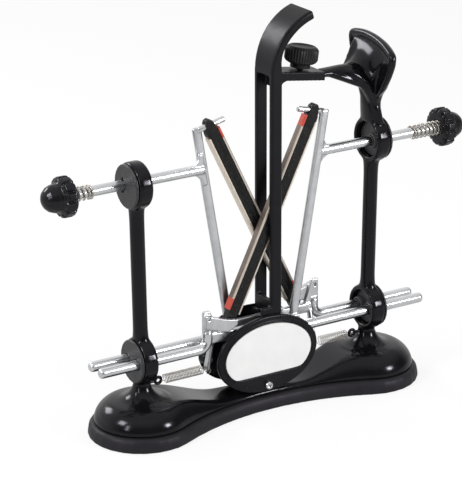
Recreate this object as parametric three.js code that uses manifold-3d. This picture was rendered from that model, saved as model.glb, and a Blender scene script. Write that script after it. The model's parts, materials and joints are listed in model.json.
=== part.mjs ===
// Diamond rod knife sharpener: two sprung frames slide in a pair of posts and cross two
// diamond rods in a V, and a slotted guide holds the blade upright between them.
// Millimetres, +Z up, +X to the right, -Y to the front. Sizes in X are measured from the middle of
// the base; the finished part is moved so that its origin lies under the plane of the blade.

import * as THREE from 'three';
import { mergeVertices } from 'three/addons/utils/BufferGeometryUtils.js';
import Module from 'manifold-3d';

const wasm = await Module();
wasm.setup();

// Clearances
const SEAT_GAP = 0.25;
const RUN_GAP = 0.4;
const COLLAR_GAP = 0.15;
const ROD_CLEAR = 1;

// Base
const POST_X = 75.6;
const LOBE_R = 30.6;
const WAIST_HALF = 13.2;
const BOOT_H = 8;
const BOOT_DRAW_IN = 2.6;
const CASTING_INSET = 3.4;
const WAIST_TOP_Z = 11;
const PAD_Z = 20.5;
const PAD_R = 16.6;

// Posts and the bosses that guide the rods
const POST_R = 4.2;
const POST_LEAN = 1.6;
const POST_FLARE_H = 12;
const POST_FLARE_HALF = 9.6;
const FOOT_R = 15.6;
const FOOT_NECK_R = 4.6;
const LOWER_Z = 43.5;
const UPPER_Z = 145.2;
const BOSS_R = 13.2;
const BOSS_BORE_R = 10.3;
const BOSS_IN = 4.3;
const BOSS_OUT = 4.6;
const BOSS_EDGE = 1.1;
const BUSH_FLANGE_R = 12.5;
const BUSH_FLANGE_T = 1.35;
const BUSH_PLUG_L = 5.6;
const BUSH_NOTCH_R = 0.9;
const BOLT_R = 3;
const BOLT_HEAD_R = 5;
const BOLT_HEAD_H = 4.4;
const BOLT_REACH = 12;

// Wing hand rest and the arm of the right post
const NECK_R = 4.6;
const WING_TOP_Z = 205;
const WING_HALF = 24;
const WING_T = 5.4;
const WING_X = 79.6;
const WING_CROWN = 3.4;
const WING_DISH = 1.6;
const DISH_RISE = 11;
const DISH_FALL = 22;
const DISH_DIP = 4.4;
const WING_TURN = 2.5;
const WING_FALL = 2;

// Frames: rods, slanted bar, hanging pin and bracket; the two frames mirror about the blade plane
const BLADE_X = 2.6;
const ROD_R = 2.8;
const ROD_EDGE = 0.8;
const LOWER_ROD_Y = 5.5;
const LOWER_ROD_END = 107;
const UPPER_ROD_Y = 3.4;
const BAR_W = 5.6;
const BAR_T = 3.4;
const BAR_EDGE = 1.1;
const BAR_Y = 4.3;
const BAR_TOP_X = 39;
const BAR_FOOT_X = 19;
const PIN_R = 1.6;
const PIN_L = 17.5;
const PIN_RISE = THREE.MathUtils.degToRad(13.3);
const WEB_L = 6.5;
const ELBOW_R = 5.6;
const LINK_Z = 48.9;
const LINK_H = 5.6;
const LINK_T = 3.6;
const BRACKET_OUT = 41.8;
const BRACKET_T = 2.4;
const BRACKET_TOP_Z = 65.6;
const BRACKET_TOP_W = 4.4;
const BRACKET_FOOT_X = 30.6;
const BLOCK_H = 7.4;
const BLOCK_REACH = 4;
const PEG_R = 1.5;
const TAB_X = 35;
const TAB_T = 2;
const TAB_W = 4.6;
const TAB_HOLE_R = 1;

// Rod carriers and their strips
const CARRIER_TILT = THREE.MathUtils.degToRad(26);
const CARRIER_X = 3.5;
const CARRIER_Y = 3.2;
const CARRIER_Z = 112;
const CARRIER_W = 6.4;
const CARRIER_T = 4.8;
const CARRIER_OVER = 4.2;
const CARRIER_UNDER = 4;
const PEG_AT = -61.5;
const PIN_AT = 64.2;
const STRIP_T = 1.4;
const DIAMOND_BELOW_PIN = 3.6;
const DIAMOND_ABOVE_PEG = 5.5;
const FINISH_BELOW_PIN = 6.2;
const FINISH_ABOVE_PEG = 4.5;

// Knobs and springs
const KNOB_FACE = 117.3;
const KNOB_FLANGE_R = 11.3;
const KNOB_FLANGE_T = 7.8;
const KNOB_LOBES = 12;
const KNOB_GROOVE = 1.5;
const KNOB_DOME_R = 7.9;
const KNOB_END = 134.8;
const KNOB_BORE_L = 8;
const KNOB_RECESS = 2.5;
const BUMPER_PITCH = 2.9;
const LEFT_BUMPER_TURNS = 5;
const RIGHT_BUMPER_TURNS = 7;
const BUMPER_PLAY = 0.5;
const BUMPER_WIRE = 0.9;
const SPRING_Z = 28.8;
const LEFT_SPRING_TURNS = 16;
const RIGHT_SPRING_TURNS = 11;
const SPRING_R = 2.5;
const SPRING_WIRE = 0.7;
const EYE_R = 1.9;
const EYE_WIRE = 1;
const EYE_OFF = 10.4;
const EYE_DEEP = 2.4;

// Blade guide with its hook, arm and clamping screw
const GUIDE_X = 3.8;
const GUIDE_T = 7;
const GUIDE_BAR = 2.9;
const GUIDE_FOOT_Z = 55.4;
const GUIDE_WEB_T = 2.6;
const SLOT_BOTTOM_Z = 64;
const SLOT_TOP_Z = 194.4;
const SLOT_ROUND = 1.6;
const LUG_L = 6.2;
const LUG_H = 5;
const HOOK_LIFT = 1.74;
const HOOK_R = 35;
const HOOK_T = 5;
const HOOK_EDGE = 0.9;
const HOOK_TIP_HALF = 11;
const HOOK_SWEEP = THREE.MathUtils.degToRad(73.5);
const ARM_END_X = 40.1;
const ARM_T = 5;
const ARM_HALF = 7.2;
const ARM_START_Z = 193.3;
const ARM_END_Z = 189.1;
const ARM_FILLET = 5;
const TONGUE_T = 2;
const TONGUE_HALF = 4.2;
const TONGUE_L = 20;
const TONGUE_ROOT = 8;
const THUMB_X = 27.4;
const THUMB_R = 8.2;
const THUMB_H = 8.6;
const THUMB_TEETH = 22;
const THUMB_TOOTH = 0.55;
const THUMB_EDGE = 2;
const THUMB_COLLAR_R = 4.4;
const THUMB_COLLAR_H = 2.6;
const THUMB_SHANK_R = 1.5;

// Middle housing with its oval badge
const HOUSING_X = 0.2;
const HOUSING_Z = 34;
const OVAL_A = 33;
const OVAL_B = 22.7;
const OVAL_BEND = 0.94;
const CORE_HALF = 17;
const SADDLE_T = 5.4;
const BEZEL_T = 2.8;
const BEZEL_RIM = 5;
const BEZEL_ROUND = 1.7;
const PLATE_T = 0.9;
const PLATE_RECESS = 1.3;
const PLATE_DROP = 11.6;
const PLATE_CORNER = 0.55;
const COVER_T = 2;
const SCREW_Z = 15;
const SCREW_DEEP = 6;
const SCREW_HEAD_R = 2.5;
const SCREW_R = 1.3;
const STANDOFF_X = 29.1;
const STANDOFF_Z = 31;
const STANDOFF_R = 3.8;
const STANDOFF_L = 4.4;

// Facets
const ROUND = 24;
const ROD_SIDES = 12;
const SMALL_SIDES = 10;
const OVAL_STEPS = 36;
const LOBE_STEPS = 9;
const WAIST_STEPS = 12;
const SPRING_STEPS = 8;
const SPRING_SIDES = 5;

// Colours, roughness and metalness
const GLOSS_BLACK = [0x0b0b0d, 0.16, 0.1];
const SATIN_BLACK = [0x232226, 0.5, 0];
const BOOT_GREY = [0x2f2d31, 0.62, 0];
const BUSH_GREY = [0x3a3a3d, 0.5, 0];
const CAST_BRIGHT = [0xc6c8cc, 0.34, 1];
const CARRIER_BLACK = [0x17161a, 0.42, 0];
const DIAMOND = [0x7d6a62, 0.55, 0.7];
const FINISHING = [0xd9c6b0, 0.28, 0.85];
const SPRING_STEEL = [0xa79d90, 0.3, 1];
const PLATE_WHITE = [0xece9e9, 0.42, 0];
const SCREW_STEEL = [0xd0d2d4, 0.25, 1];

// Sizes that follow from the ones above
const coreTopZ = LOWER_Z - ROD_R - ROD_CLEAR;
const coverY = LOWER_ROD_Y + BLOCK_REACH + COLLAR_GAP;
const coreY = coverY - SEAT_GAP;
const stubX = BRACKET_OUT - ROD_R;
const saddleY = BAR_Y - BAR_T / 2 - RUN_GAP;
const slotHalf = Math.max(CARRIER_Y + CARRIER_T / 2, BAR_Y + BAR_T / 2) + RUN_GAP;
const hookZ = ARM_START_Z + HOOK_LIFT;
const guideHalf = slotHalf + GUIDE_BAR;
const guideRight = GUIDE_X + GUIDE_T;
const neckRootZ = UPPER_Z + BOSS_BORE_R;
const eyeX = POST_X - EYE_OFF;
const bumperR = ROD_R + BUMPER_WIRE / 2 + BUMPER_PLAY;
const carrierTop = PIN_AT + CARRIER_OVER;
const carrierBottom = PEG_AT - CARRIER_UNDER;
const diamondTop = PIN_AT - DIAMOND_BELOW_PIN;
const diamondBottom = PEG_AT + DIAMOND_ABOVE_PEG;
const finishTop = PIN_AT - FINISH_BELOW_PIN;
const finishBottom = PEG_AT + FINISH_ABOVE_PEG;

// Basic helpers

const v2 = (x, y) => new THREE.Vector2(x, y);
const v3 = (x, y, z) => new THREE.Vector3(x, y, z);

function solid(geometry) {
  const bare = geometry.index ? geometry.toNonIndexed() : geometry.clone();
  for (const name of Object.keys(bare.attributes)) {
    if (name !== 'position') bare.deleteAttribute(name);
  }
  const merged = mergeVertices(bare, 1e-4);
  const vertProperties = Float32Array.from(merged.attributes.position.array);
  const triVerts = Uint32Array.from(merged.index.array);
  const mesh = new wasm.Mesh({ numProp: 3, vertProperties, triVerts });
  mesh.merge();
  return new wasm.Manifold(mesh);
}

function geometryOf(manifold) {
  const mesh = manifold.getMesh();
  const geometry = new THREE.BufferGeometry();
  geometry.setAttribute('position', new THREE.BufferAttribute(mesh.vertProperties, 3));
  geometry.setIndex(new THREE.BufferAttribute(mesh.triVerts, 1));
  return geometry;
}

function join(...geometries) {
  const [first, ...rest] = geometries.map(solid);
  return geometryOf(rest.reduce((sum, item) => sum.add(item), first));
}

function cut(body, ...tools) {
  return geometryOf(tools.map(solid).reduce((rest, tool) => rest.subtract(tool), solid(body)));
}

function box(x0, x1, y0, y1, z0, z1) {
  const geometry = new THREE.BoxGeometry(x1 - x0, y1 - y0, z1 - z0);
  return geometry.translate((x0 + x1) / 2, (y0 + y1) / 2, (z0 + z1) / 2);
}

// A straight round bar between two points
function bar(from, to, radius, sides = ROD_SIDES, endRadius = radius) {
  const span = to.clone().sub(from);
  const geometry = new THREE.CylinderGeometry(endRadius, radius, span.length(), sides);
  const turn = new THREE.Quaternion().setFromUnitVectors(v3(0, 1, 0), span.normalize());
  geometry.applyQuaternion(turn);
  const middle = from.clone().add(to).multiplyScalar(0.5);
  return geometry.translate(middle.x, middle.y, middle.z);
}

const barX = (x0, x1, y, z, radius, sides) => bar(v3(x0, y, z), v3(x1, y, z), radius, sides);
const barY = (y0, y1, x, z, radius, sides) => bar(v3(x, y0, z), v3(x, y1, z), radius, sides);
const barZ = (z0, z1, x, y, radius, sides) => bar(v3(x, y, z0), v3(x, y, z1), radius, sides);

// A closed skin holds a positive volume when its faces point out; a skin that doesn't is turned over
function facingOut(geometry) {
  const index = geometry.index.array;
  const place = geometry.attributes.position;
  const [a, b, c] = [v3(0, 0, 0), v3(0, 0, 0), v3(0, 0, 0)];
  let volume = 0;
  for (let i = 0; i < index.length; i += 3) {
    a.fromBufferAttribute(place, index[i]);
    b.fromBufferAttribute(place, index[i + 1]);
    c.fromBufferAttribute(place, index[i + 2]);
    volume += a.dot(b.cross(c));
  }
  for (let i = 0; volume < 0 && i < index.length; i += 3) {
    [index[i + 1], index[i + 2]] = [index[i + 2], index[i + 1]];
  }
  return geometry;
}

// A revolved profile of [radius, height] pairs, turned about Z
function lathe(profile, sides = ROUND) {
  const points = profile.map(([radius, height]) => v2(radius, height));
  return facingOut(new THREE.LatheGeometry(points, sides).rotateX(Math.PI / 2));
}

// The same profile turned about X, with its heights running along +X
const latheX = (profile, sides) => lathe(profile, sides).rotateY(Math.PI / 2);

// An outline in X and Z, extruded between two Y values
function slabXZ(points, y0, y1) {
  const shape = new THREE.Shape(points);
  const geometry = new THREE.ExtrudeGeometry(shape, { depth: y1 - y0, bevelEnabled: false });
  return geometry.rotateX(Math.PI / 2).translate(0, y1, 0);
}

// An outline in Y and Z, extruded between two X values
function slabYZ(points, x0, x1) {
  const shape = new THREE.Shape(points);
  const geometry = new THREE.ExtrudeGeometry(shape, { depth: x1 - x0, bevelEnabled: false });
  const basis = new THREE.Matrix4().makeBasis(v3(0, 1, 0), v3(0, 0, 1), v3(1, 0, 0));
  return geometry.applyMatrix4(basis).translate(x0, 0, 0);
}

// Rings of equal length skinned into one closed body; ends are closed by fans, or by a strip
// across each ring when the ring mirrors about its first point
function loft(rings, ends = 'fan') {
  const count = rings[0].length;
  const points = rings.flat();
  const index = [];
  for (let r = 0; r + 1 < rings.length; r += 1) {
    for (let i = 0; i < count; i += 1) {
      const a = r * count + i;
      const b = r * count + ((i + 1) % count);
      index.push(a, b, b + count, a, b + count, a + count);
    }
  }
  const close = (ring, start, flip) => {
    const put = (a, b, c) => (flip ? index.push(a, c, b) : index.push(a, b, c));
    if (ends === 'strip') {
      for (let a = 0; a < count / 2; a += 1) {
        const b = a + 1;
        const acrossB = count - b;
        const acrossA = (count - a) % count;
        if (a !== acrossA) put(start + a, start + b, start + acrossA);
        if (b !== acrossB) put(start + b, start + acrossB, start + acrossA);
      }
      return;
    }
    const centre = ring.reduce((sum, p) => sum.add(p), v3(0, 0, 0)).divideScalar(count);
    points.push(centre);
    for (let i = 0; i < count; i += 1) {
      put(start + i, start + ((i + 1) % count), points.length - 1);
    }
  };
  close(rings[0], 0, true);
  close(rings[rings.length - 1], (rings.length - 1) * count, false);
  const geometry = new THREE.BufferGeometry().setFromPoints(points);
  geometry.setIndex(index);
  return facingOut(geometry);
}

// A cosine or sine with its corners pushed out (power below 1), which turns a circle into a fuller oval
const bent = (value, power) => Math.sign(value) * Math.abs(value) ** power;

const smooth = (low, high, value) => THREE.MathUtils.smoothstep(value, low, high);

function add(group, name, geometry, [colour, roughness, metalness]) {
  const material = new THREE.MeshStandardMaterial({ color: colour, roughness, metalness });
  const mesh = new THREE.Mesh(geometry, material);
  mesh.name = name;
  group.add(mesh);
  return mesh;
}

const sharpener = new THREE.Group();

// Base: a dog-bone outline of two round lobes joined by tangent hollow arcs

function dogBone(lobeR, waistHalf, heightAt) {
  const arcR = (POST_X ** 2 + waistHalf ** 2 - lobeR ** 2) / (2 * (lobeR - waistHalf));
  const arcY = waistHalf + arcR;
  const tangent = Math.atan2(arcY, -POST_X);
  const half = [];
  for (let i = 0; i <= LOBE_STEPS; i += 1) {
    const angle = (tangent * i) / LOBE_STEPS;
    half.push(v2(POST_X + lobeR * Math.cos(angle), lobeR * Math.sin(angle)));
  }
  for (let i = 1; i < WAIST_STEPS; i += 1) {
    const angle = tangent - Math.PI + ((Math.PI - 2 * tangent) * i) / WAIST_STEPS;
    half.push(v2(arcR * Math.cos(angle), arcY + arcR * Math.sin(angle)));
  }
  for (let i = LOBE_STEPS; i >= 0; i -= 1) {
    half.push(v2(-half[i].x, half[i].y));
  }
  const mirrored = half.slice(1, -1).reverse().map((p) => v2(p.x, -p.y));
  return [...half, ...mirrored].map((p) => v3(p.x, p.y, heightAt(p.x)));
}

const bootLevel = (z, inset) => dogBone(LOBE_R - inset, WAIST_HALF - inset, () => z);
const boot = loft([
  bootLevel(0, 0.5),
  bootLevel(0.8, 0),
  bootLevel(BOOT_H * 0.5, 0.25),
  bootLevel(BOOT_H * 0.82, BOOT_DRAW_IN * 0.4),
  bootLevel(BOOT_H, BOOT_DRAW_IN),
], 'strip');
const boltPlaces = [-POST_X, HOUSING_X, POST_X];
const bootHoles = boltPlaces.map((x) => barZ(-1, BOOT_H + 1, x, 0, BOLT_HEAD_R + RUN_GAP, ROUND));
add(sharpener, 'base_boot', cut(boot, ...bootHoles), BOOT_GREY);

const castingZ = BOOT_H + SEAT_GAP;
const rimR = LOBE_R - CASTING_INSET;
const rimHalf = WAIST_HALF - CASTING_INSET;
function castingLevel(share, rise) {
  const waistShare = 0.8 * rimHalf;
  const heightAt = (x) => {
    const top = THREE.MathUtils.lerp(WAIST_TOP_Z, PAD_Z, smooth(0.3, 0.85, Math.abs(x) / POST_X));
    return castingZ + (top - castingZ) * rise;
  };
  const lobe = THREE.MathUtils.lerp(rimR, PAD_R, share);
  return dogBone(lobe, THREE.MathUtils.lerp(rimHalf, waistShare, share), heightAt);
}
const castingBody = loft([
  castingLevel(0, 0),
  castingLevel(0.05, 0.24),
  castingLevel(0.21, 0.54),
  castingLevel(0.45, 0.78),
  castingLevel(0.73, 0.93),
  castingLevel(1, 1),
], 'strip');

// A cap screw standing up from below: its head bears on the casting inside a hole in the boot
const boltHole = (x, z0, z1) => barZ(z0, z1, x, 0, BOLT_R + SEAT_GAP, ROD_SIDES);
const boltBody = (x, topZ) => join(
  barZ(BOOT_H - BOLT_HEAD_H, BOOT_H, x, 0, BOLT_HEAD_R, ROUND),
  barZ(BOOT_H - 1, topZ, x, 0, BOLT_R, ROD_SIDES),
);
const postBoltTop = SPRING_Z - EYE_WIRE - 2 * RUN_GAP;
const housingBoltTop = WAIST_TOP_Z + BOLT_REACH;
const casting = cut(castingBody, ...boltPlaces.map((x) => boltHole(x, BOOT_H, PAD_Z + 1)));
add(sharpener, 'base_casting', casting, GLOSS_BLACK);
add(sharpener, 'left_post_bolt', boltBody(-POST_X, postBoltTop), SCREW_STEEL);
add(sharpener, 'right_post_bolt', boltBody(POST_X, postBoltTop), SCREW_STEEL);
add(sharpener, 'housing_bolt', boltBody(HOUSING_X, housingBoltTop), SCREW_STEEL);

// Posts: side is -1 for the left one and +1 for the right one

function boss(side, x, z) {
  const inner = -BOSS_IN * side;
  const outer = BOSS_OUT * side;
  const profile = [
    [BOSS_BORE_R, inner],
    [BOSS_R - BOSS_EDGE, inner],
    [BOSS_R, inner + BOSS_EDGE * side],
    [BOSS_R, outer - BOSS_EDGE * side],
    [BOSS_R - BOSS_EDGE, outer],
    [BOSS_BORE_R, outer],
    [BOSS_BORE_R, inner],
  ];
  return latheX(profile, ROUND).translate(x * side, 0, z);
}

const bossBore = (side, x, z) => barX(
  side * (x - BOSS_IN - 1),
  side * (x + BOSS_OUT + 1),
  0,
  z,
  BOSS_BORE_R,
  ROUND,
);

// A hollow quarter oval from a wide end to a slim one, as [radius, height] pairs
function flare(wideR, wideZ, slimR, slimZ, steps) {
  const points = [];
  for (let i = 0; i <= steps; i += 1) {
    const angle = (Math.PI / 2) * (i / steps);
    const radius = slimR + (wideR - slimR) * (1 - Math.sin(angle));
    points.push([radius, wideZ + (slimZ - wideZ) * (1 - Math.cos(angle))]);
  }
  return points;
}

// The leaning part of a post stands this far out at a height
const leanAt = (z) => (POST_LEAN * (z - LOWER_Z)) / (UPPER_Z - LOWER_Z);

// A shaft of oval sections from boss to boss: it widens along Y only, so that it runs flush into them
function shaft(side) {
  const chord = Math.sqrt(BOSS_R ** 2 - POST_FLARE_HALF ** 2);
  const low = LOWER_Z + chord;
  const high = UPPER_Z - chord;
  const levels = [
    ...flare(POST_FLARE_HALF, low, POST_R, low + POST_FLARE_H, 5),
    ...flare(POST_FLARE_HALF, high, POST_R, high - POST_FLARE_H, 5).reverse(),
  ];
  const SHAFT_SIDES = 20;
  return loft(levels.map(([half, z]) => {
    const ring = [];
    for (let i = 0; i < SHAFT_SIDES; i += 1) {
      const angle = (2 * Math.PI * i) / SHAFT_SIDES;
      const x = side * (POST_X + leanAt(z)) + POST_R * Math.cos(angle);
      ring.push(v3(x, half * Math.sin(angle), z));
    }
    return ring;
  }));
}

function foot(side) {
  const footZ = PAD_Z + SEAT_GAP;
  const neckTop = LOWER_Z - (BOSS_R + BOSS_BORE_R) / 2;
  const profile = [
    [0, footZ],
    ...flare(FOOT_R, footZ, FOOT_NECK_R, neckTop, 6),
    [0, neckTop],
  ];
  return lathe(profile).translate(POST_X * side, 0, 0);
}

function post(side, ...more) {
  const upperX = POST_X + leanAt(UPPER_Z);
  return cut(
    join(foot(side), shaft(side), boss(side, POST_X, LOWER_Z), boss(side, upperX, UPPER_Z), ...more),
    bossBore(side, POST_X, LOWER_Z),
    bossBore(side, upperX, UPPER_Z),
    ...postTools(side),
  );
}

const postTools = (side) => [
  boltHole(POST_X * side, PAD_Z, postBoltTop + SEAT_GAP),
  barX(
    side * (POST_X - EYE_OFF),
    side * (POST_X - EYE_DEEP + SEAT_GAP),
    0,
    SPRING_Z,
    EYE_WIRE + SEAT_GAP,
    8,
  ),
];

add(sharpener, 'left_post', post(-1), GLOSS_BLACK);

// The right post carries on above its upper boss: a neck bends left into the arm, and a wing fans up

const armSlope = (ARM_END_Z - ARM_START_Z) / (ARM_END_X - GUIDE_X - GUIDE_T);
const armAngle = Math.atan(armSlope);
const armZ = (x) => ARM_END_Z + (x - ARM_END_X) * armSlope;
const neckStartX = ARM_END_X + 2 * SEAT_GAP + (ARM_T / 2) * Math.abs(armSlope);

// A skin of oval rings along a path in X and Z; a station is [point, way, half depth, half width]
function pipe(stations, sides) {
  return loft(stations.map(([centre, way, deep, wide]) => {
    const out = v3(way.z, 0, -way.x);
    const ring = [];
    for (let i = 0; i < sides; i += 1) {
      const angle = (2 * Math.PI * i) / sides;
      const p = centre.clone().addScaledVector(out, deep * Math.cos(angle));
      ring.push(p.add(v3(0, wide * Math.sin(angle), 0)));
    }
    return ring;
  }));
}

// Stations along a curve; size gives [half depth, half width] at a share of it
function stationsOn(curve, steps, size) {
  const stations = [];
  for (let k = 0; k <= steps; k += 1) {
    const t = k / steps;
    stations.push([curve.getPoint(t), curve.getTangent(t), ...size(t)]);
  }
  return stations;
}

// The neck climbs out of the upper boss and turns square into the arm
function neck() {
  const root = v3(POST_X + leanAt(UPPER_Z), 0, neckRootZ);
  const tip = v3(neckStartX, 0, armZ(neckStartX));
  const path = new THREE.CubicBezierCurve3(
    root,
    v3(root.x - NECK_R, 0, tip.z),
    v3(root.x - 2 * NECK_R, 0, tip.z),
    tip,
  );
  const stations = stationsOn(path, 10, (t) => {
    const wide = THREE.MathUtils.lerp(POST_FLARE_HALF, NECK_R, smooth(0, 0.26, t));
    const deep = THREE.MathUtils.lerp(NECK_R, ARM_T / 2, smooth(0.45, 1, t));
    return [deep, wide];
  });
  return pipe(stations, 16);
}

// One rounded strip across Y; the callback places a point from its share of the width and thickness
function strip(place) {
  const SIDES = 20;
  const STRIP_BEND = 0.7;
  const ring = [];
  for (let i = 0; i < SIDES; i += 1) {
    const angle = (2 * Math.PI * i) / SIDES;
    ring.push(place(bent(Math.cos(angle), STRIP_BEND), bent(Math.sin(angle), STRIP_BEND)));
  }
  return ring;
}

function wingFan() {
  const share = (half) => half / WING_HALF;
  const level = (drop, half, lean, thick, crown) => strip((across, through) => v3(
    WING_X - lean + (thick / 2) * through - share(half) * (WING_TURN + WING_DISH * across) * across,
    -half * across,
    WING_TOP_Z - drop - crown * across ** 2 - share(half) * WING_FALL * across,
  ));
  const rise = WING_TOP_Z - neckRootZ;
  return loft([
    level(rise * 0.91, POST_R + 0.8, 2, WING_T + 3.4, 0),
    level(rise * 0.75, POST_R + 2.3, 2.6, WING_T + 3, 0.5),
    level(rise * 0.61, WING_HALF * 0.42, 2.4, WING_T + 2.2, 1.5),
    level(rise * 0.47, WING_HALF * 0.63, 1.8, WING_T + 1.4, 3),
    level(rise * 0.31, WING_HALF * 0.84, 1, WING_T + 0.6, WING_CROWN * 0.7),
    level(rise * 0.14, WING_HALF * 0.97, 0.2, WING_T, WING_CROWN * 0.93),
    level(rise * 0.036, WING_HALF, 0, WING_T - 0.8, WING_CROWN),
    level(0, WING_HALF - 1.6, 0, WING_T * 0.4, WING_CROWN),
  ]);
}

// The dish sweeps up from the arm to the wing; its back edge stands high and its front edge falls away
function wingDish() {
  const span = WING_X - neckStartX;
  const level = (share, back, front, rise, thick, dip, fall) => strip((across, through) => v3(
    neckStartX + span * share,
    WING_HALF * (across > 0 ? back : front) * across,
    ARM_END_Z + DISH_RISE * rise - DISH_DIP * dip * (1 - across ** 2)
      - DISH_FALL * fall * 0.5 * (1 - across) - ARM_T * thick * 0.5 * (1 - through),
  ));
  return loft([
    level(0.1, 0.18, 0.18, 0.16, 0.8, 0, 0),
    level(0.3, 0.27, 0.27, 0.04, 1, 0.07, 0.05),
    level(0.47, 0.35, 0.32, -0.03, 1, 0.23, 0.15),
    level(0.64, 0.47, 0.36, 0.07, 1.1, 0.45, 0.32),
    level(0.8, 0.68, 0.36, 0.4, 1.2, 0.68, 0.55),
    level(0.92, 0.83, 0.3, 0.75, 1.3, 0.9, 0.8),
    level(1, 0.9, 0.2, 1, 1.3, 1, 1),
  ]);
}

// The tongue slides into the guide's arm and lies along its slope
function alongArm(geometry) {
  return geometry.rotateY(-armAngle).translate(ARM_END_X, 0, ARM_END_Z);
}
const tongueSpan = (grow) => alongArm(box(
  -TONGUE_L - grow,
  TONGUE_ROOT + grow,
  -TONGUE_HALF - grow,
  TONGUE_HALF + grow,
  -TONGUE_T / 2 - grow,
  TONGUE_T / 2 + grow,
));

const rightPost = post(1, neck(), wingFan(), wingDish(), tongueSpan(0));
add(sharpener, 'right_post', rightPost, GLOSS_BLACK);

// Bushes: a flanged plug in the outer end of each boss, bored for the rods

function bush(side, x, z, holes) {
  const seat = BOSS_OUT + SEAT_GAP;
  const plugR = BOSS_BORE_R - SEAT_GAP * 1.2;
  const profile = [
    [0, seat - BUSH_PLUG_L],
    [plugR, seat - BUSH_PLUG_L],
    [plugR, seat],
    [BUSH_FLANGE_R, seat],
    [BUSH_FLANGE_R, seat + BUSH_FLANGE_T * 0.6],
    [BUSH_FLANGE_R - 0.5, seat + BUSH_FLANGE_T],
    [0, seat + BUSH_FLANGE_T],
  ];
  const body = latheX(profile, ROUND);
  if (side < 0) body.rotateZ(Math.PI);
  body.translate(x * side, 0, z);
  const from = x - BOSS_IN;
  const to = x + BOSS_OUT + BUSH_FLANGE_T + 1;
  const drills = holes.map(([y, dz, r]) => barX(from * side, to * side, y, z + dz, r, ROD_SIDES));
  return cut(body, ...drills);
}

const rodHole = ROD_R + RUN_GAP;
for (const [word, side] of [['left', -1], ['right', 1]]) {
  const upperY = -side * UPPER_ROD_Y;
  const notch = rodHole + BUSH_NOTCH_R * 0.4;
  add(sharpener, `${word}_upper_bush`, bush(side, POST_X + leanAt(UPPER_Z), UPPER_Z, [
    [upperY, 0, rodHole],
    [upperY, notch, BUSH_NOTCH_R],
    [upperY, -notch, BUSH_NOTCH_R],
  ]), BUSH_GREY);
  add(sharpener, `${word}_lower_bush`, bush(side, POST_X, LOWER_Z, [
    [LOWER_ROD_Y, 0, rodHole],
    [-LOWER_ROD_Y, 0, rodHole],
  ]), BUSH_GREY);
}

// Screw eyes under the lower bosses hold the outer ends of the return springs

function springEye(side) {
  const ring = new THREE.TorusGeometry(EYE_R, EYE_WIRE, 6, 14).rotateX(Math.PI / 2);
  ring.translate(side * eyeX, 0, SPRING_Z);
  const shank = barX(side * (eyeX + EYE_R), side * (POST_X - EYE_DEEP), 0, SPRING_Z, EYE_WIRE, 6);
  return join(ring, shank);
}
add(sharpener, 'left_spring_eye', springEye(-1), GLOSS_BLACK);
add(sharpener, 'right_spring_eye', springEye(1), GLOSS_BLACK);

// Middle housing

function oval(a, b) {
  const points = [];
  for (let i = 0; i < OVAL_STEPS; i += 1) {
    const angle = (2 * Math.PI * i) / OVAL_STEPS;
    const x = a * bent(Math.cos(angle), OVAL_BEND);
    const z = b * bent(Math.sin(angle), OVAL_BEND);
    points.push(v2(HOUSING_X + x, HOUSING_Z + z));
  }
  return points;
}

const ovalRing = (inset, y) => oval(OVAL_A - inset, OVAL_B - inset).map((p) => v3(p.x, y, p.y));

function roundedOval(y0, y1, round) {
  const soft = y1 > y0 ? round : -round;
  return loft([
    ovalRing(0, y0),
    ovalRing(0, y1 - soft),
    ovalRing(round * 0.35, y1 - soft * 0.35),
    ovalRing(round, y1),
  ]);
}

// The badge outline: the oval inside the rim above, and a flat foot with round corners below
function badgePoints(inset) {
  const points = [];
  for (let i = 0; i < OVAL_STEPS; i += 1) {
    const angle = (2 * Math.PI * i) / OVAL_STEPS;
    const low = Math.sin(angle) < 0;
    const bend = low ? PLATE_CORNER : OVAL_BEND;
    const tall = low ? PLATE_DROP : OVAL_B - BEZEL_RIM;
    const x = (OVAL_A - BEZEL_RIM - inset) * bent(Math.cos(angle), bend);
    const z = (tall - inset) * bent(Math.sin(angle), bend);
    points.push(v2(HOUSING_X + x, HOUSING_Z + z));
  }
  return points;
}

const coreFloor = WAIST_TOP_Z + SEAT_GAP;
const saddleTop = GUIDE_FOOT_Z - SEAT_GAP;
const bezelBack = -coreY - SEAT_GAP;
const bezelFront = bezelBack - BEZEL_T;
const coverFront = coreY + SEAT_GAP;
const coreInner = CORE_HALF * 0.55;
const core = cut(
  join(
    slabXZ([
      v2(HOUSING_X - coreInner, coreFloor),
      v2(HOUSING_X + coreInner, coreFloor),
      v2(HOUSING_X + CORE_HALF, HOUSING_Z - OVAL_B * 0.5),
      v2(HOUSING_X + CORE_HALF, coreTopZ - 3),
      v2(HOUSING_X + CORE_HALF - 3, coreTopZ),
      v2(HOUSING_X - CORE_HALF + 3, coreTopZ),
      v2(HOUSING_X - CORE_HALF, coreTopZ - 3),
      v2(HOUSING_X - CORE_HALF, HOUSING_Z - OVAL_B * 0.5),
    ], -coreY, coreY),
    box(GUIDE_X + SEAT_GAP, GUIDE_X + SADDLE_T, -saddleY, saddleY, coreTopZ - 1, saddleTop),
  ),
  boltHole(HOUSING_X, coreFloor - 1, housingBoltTop + SEAT_GAP),
  barY(-coreY - 1, -coreY + SCREW_DEEP, HOUSING_X, SCREW_Z, SCREW_R + SEAT_GAP, SMALL_SIDES),
);
add(sharpener, 'housing_core', core, SATIN_BLACK);

const bezel = cut(
  roundedOval(bezelBack, bezelFront, BEZEL_ROUND),
  slabXZ(badgePoints(0), bezelFront - 1, bezelFront + PLATE_RECESS),
  barY(bezelFront - 1, bezelBack + 1, HOUSING_X, SCREW_Z, SCREW_R + SEAT_GAP, SMALL_SIDES),
);
add(sharpener, 'badge_bezel', bezel, SATIN_BLACK);

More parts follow.
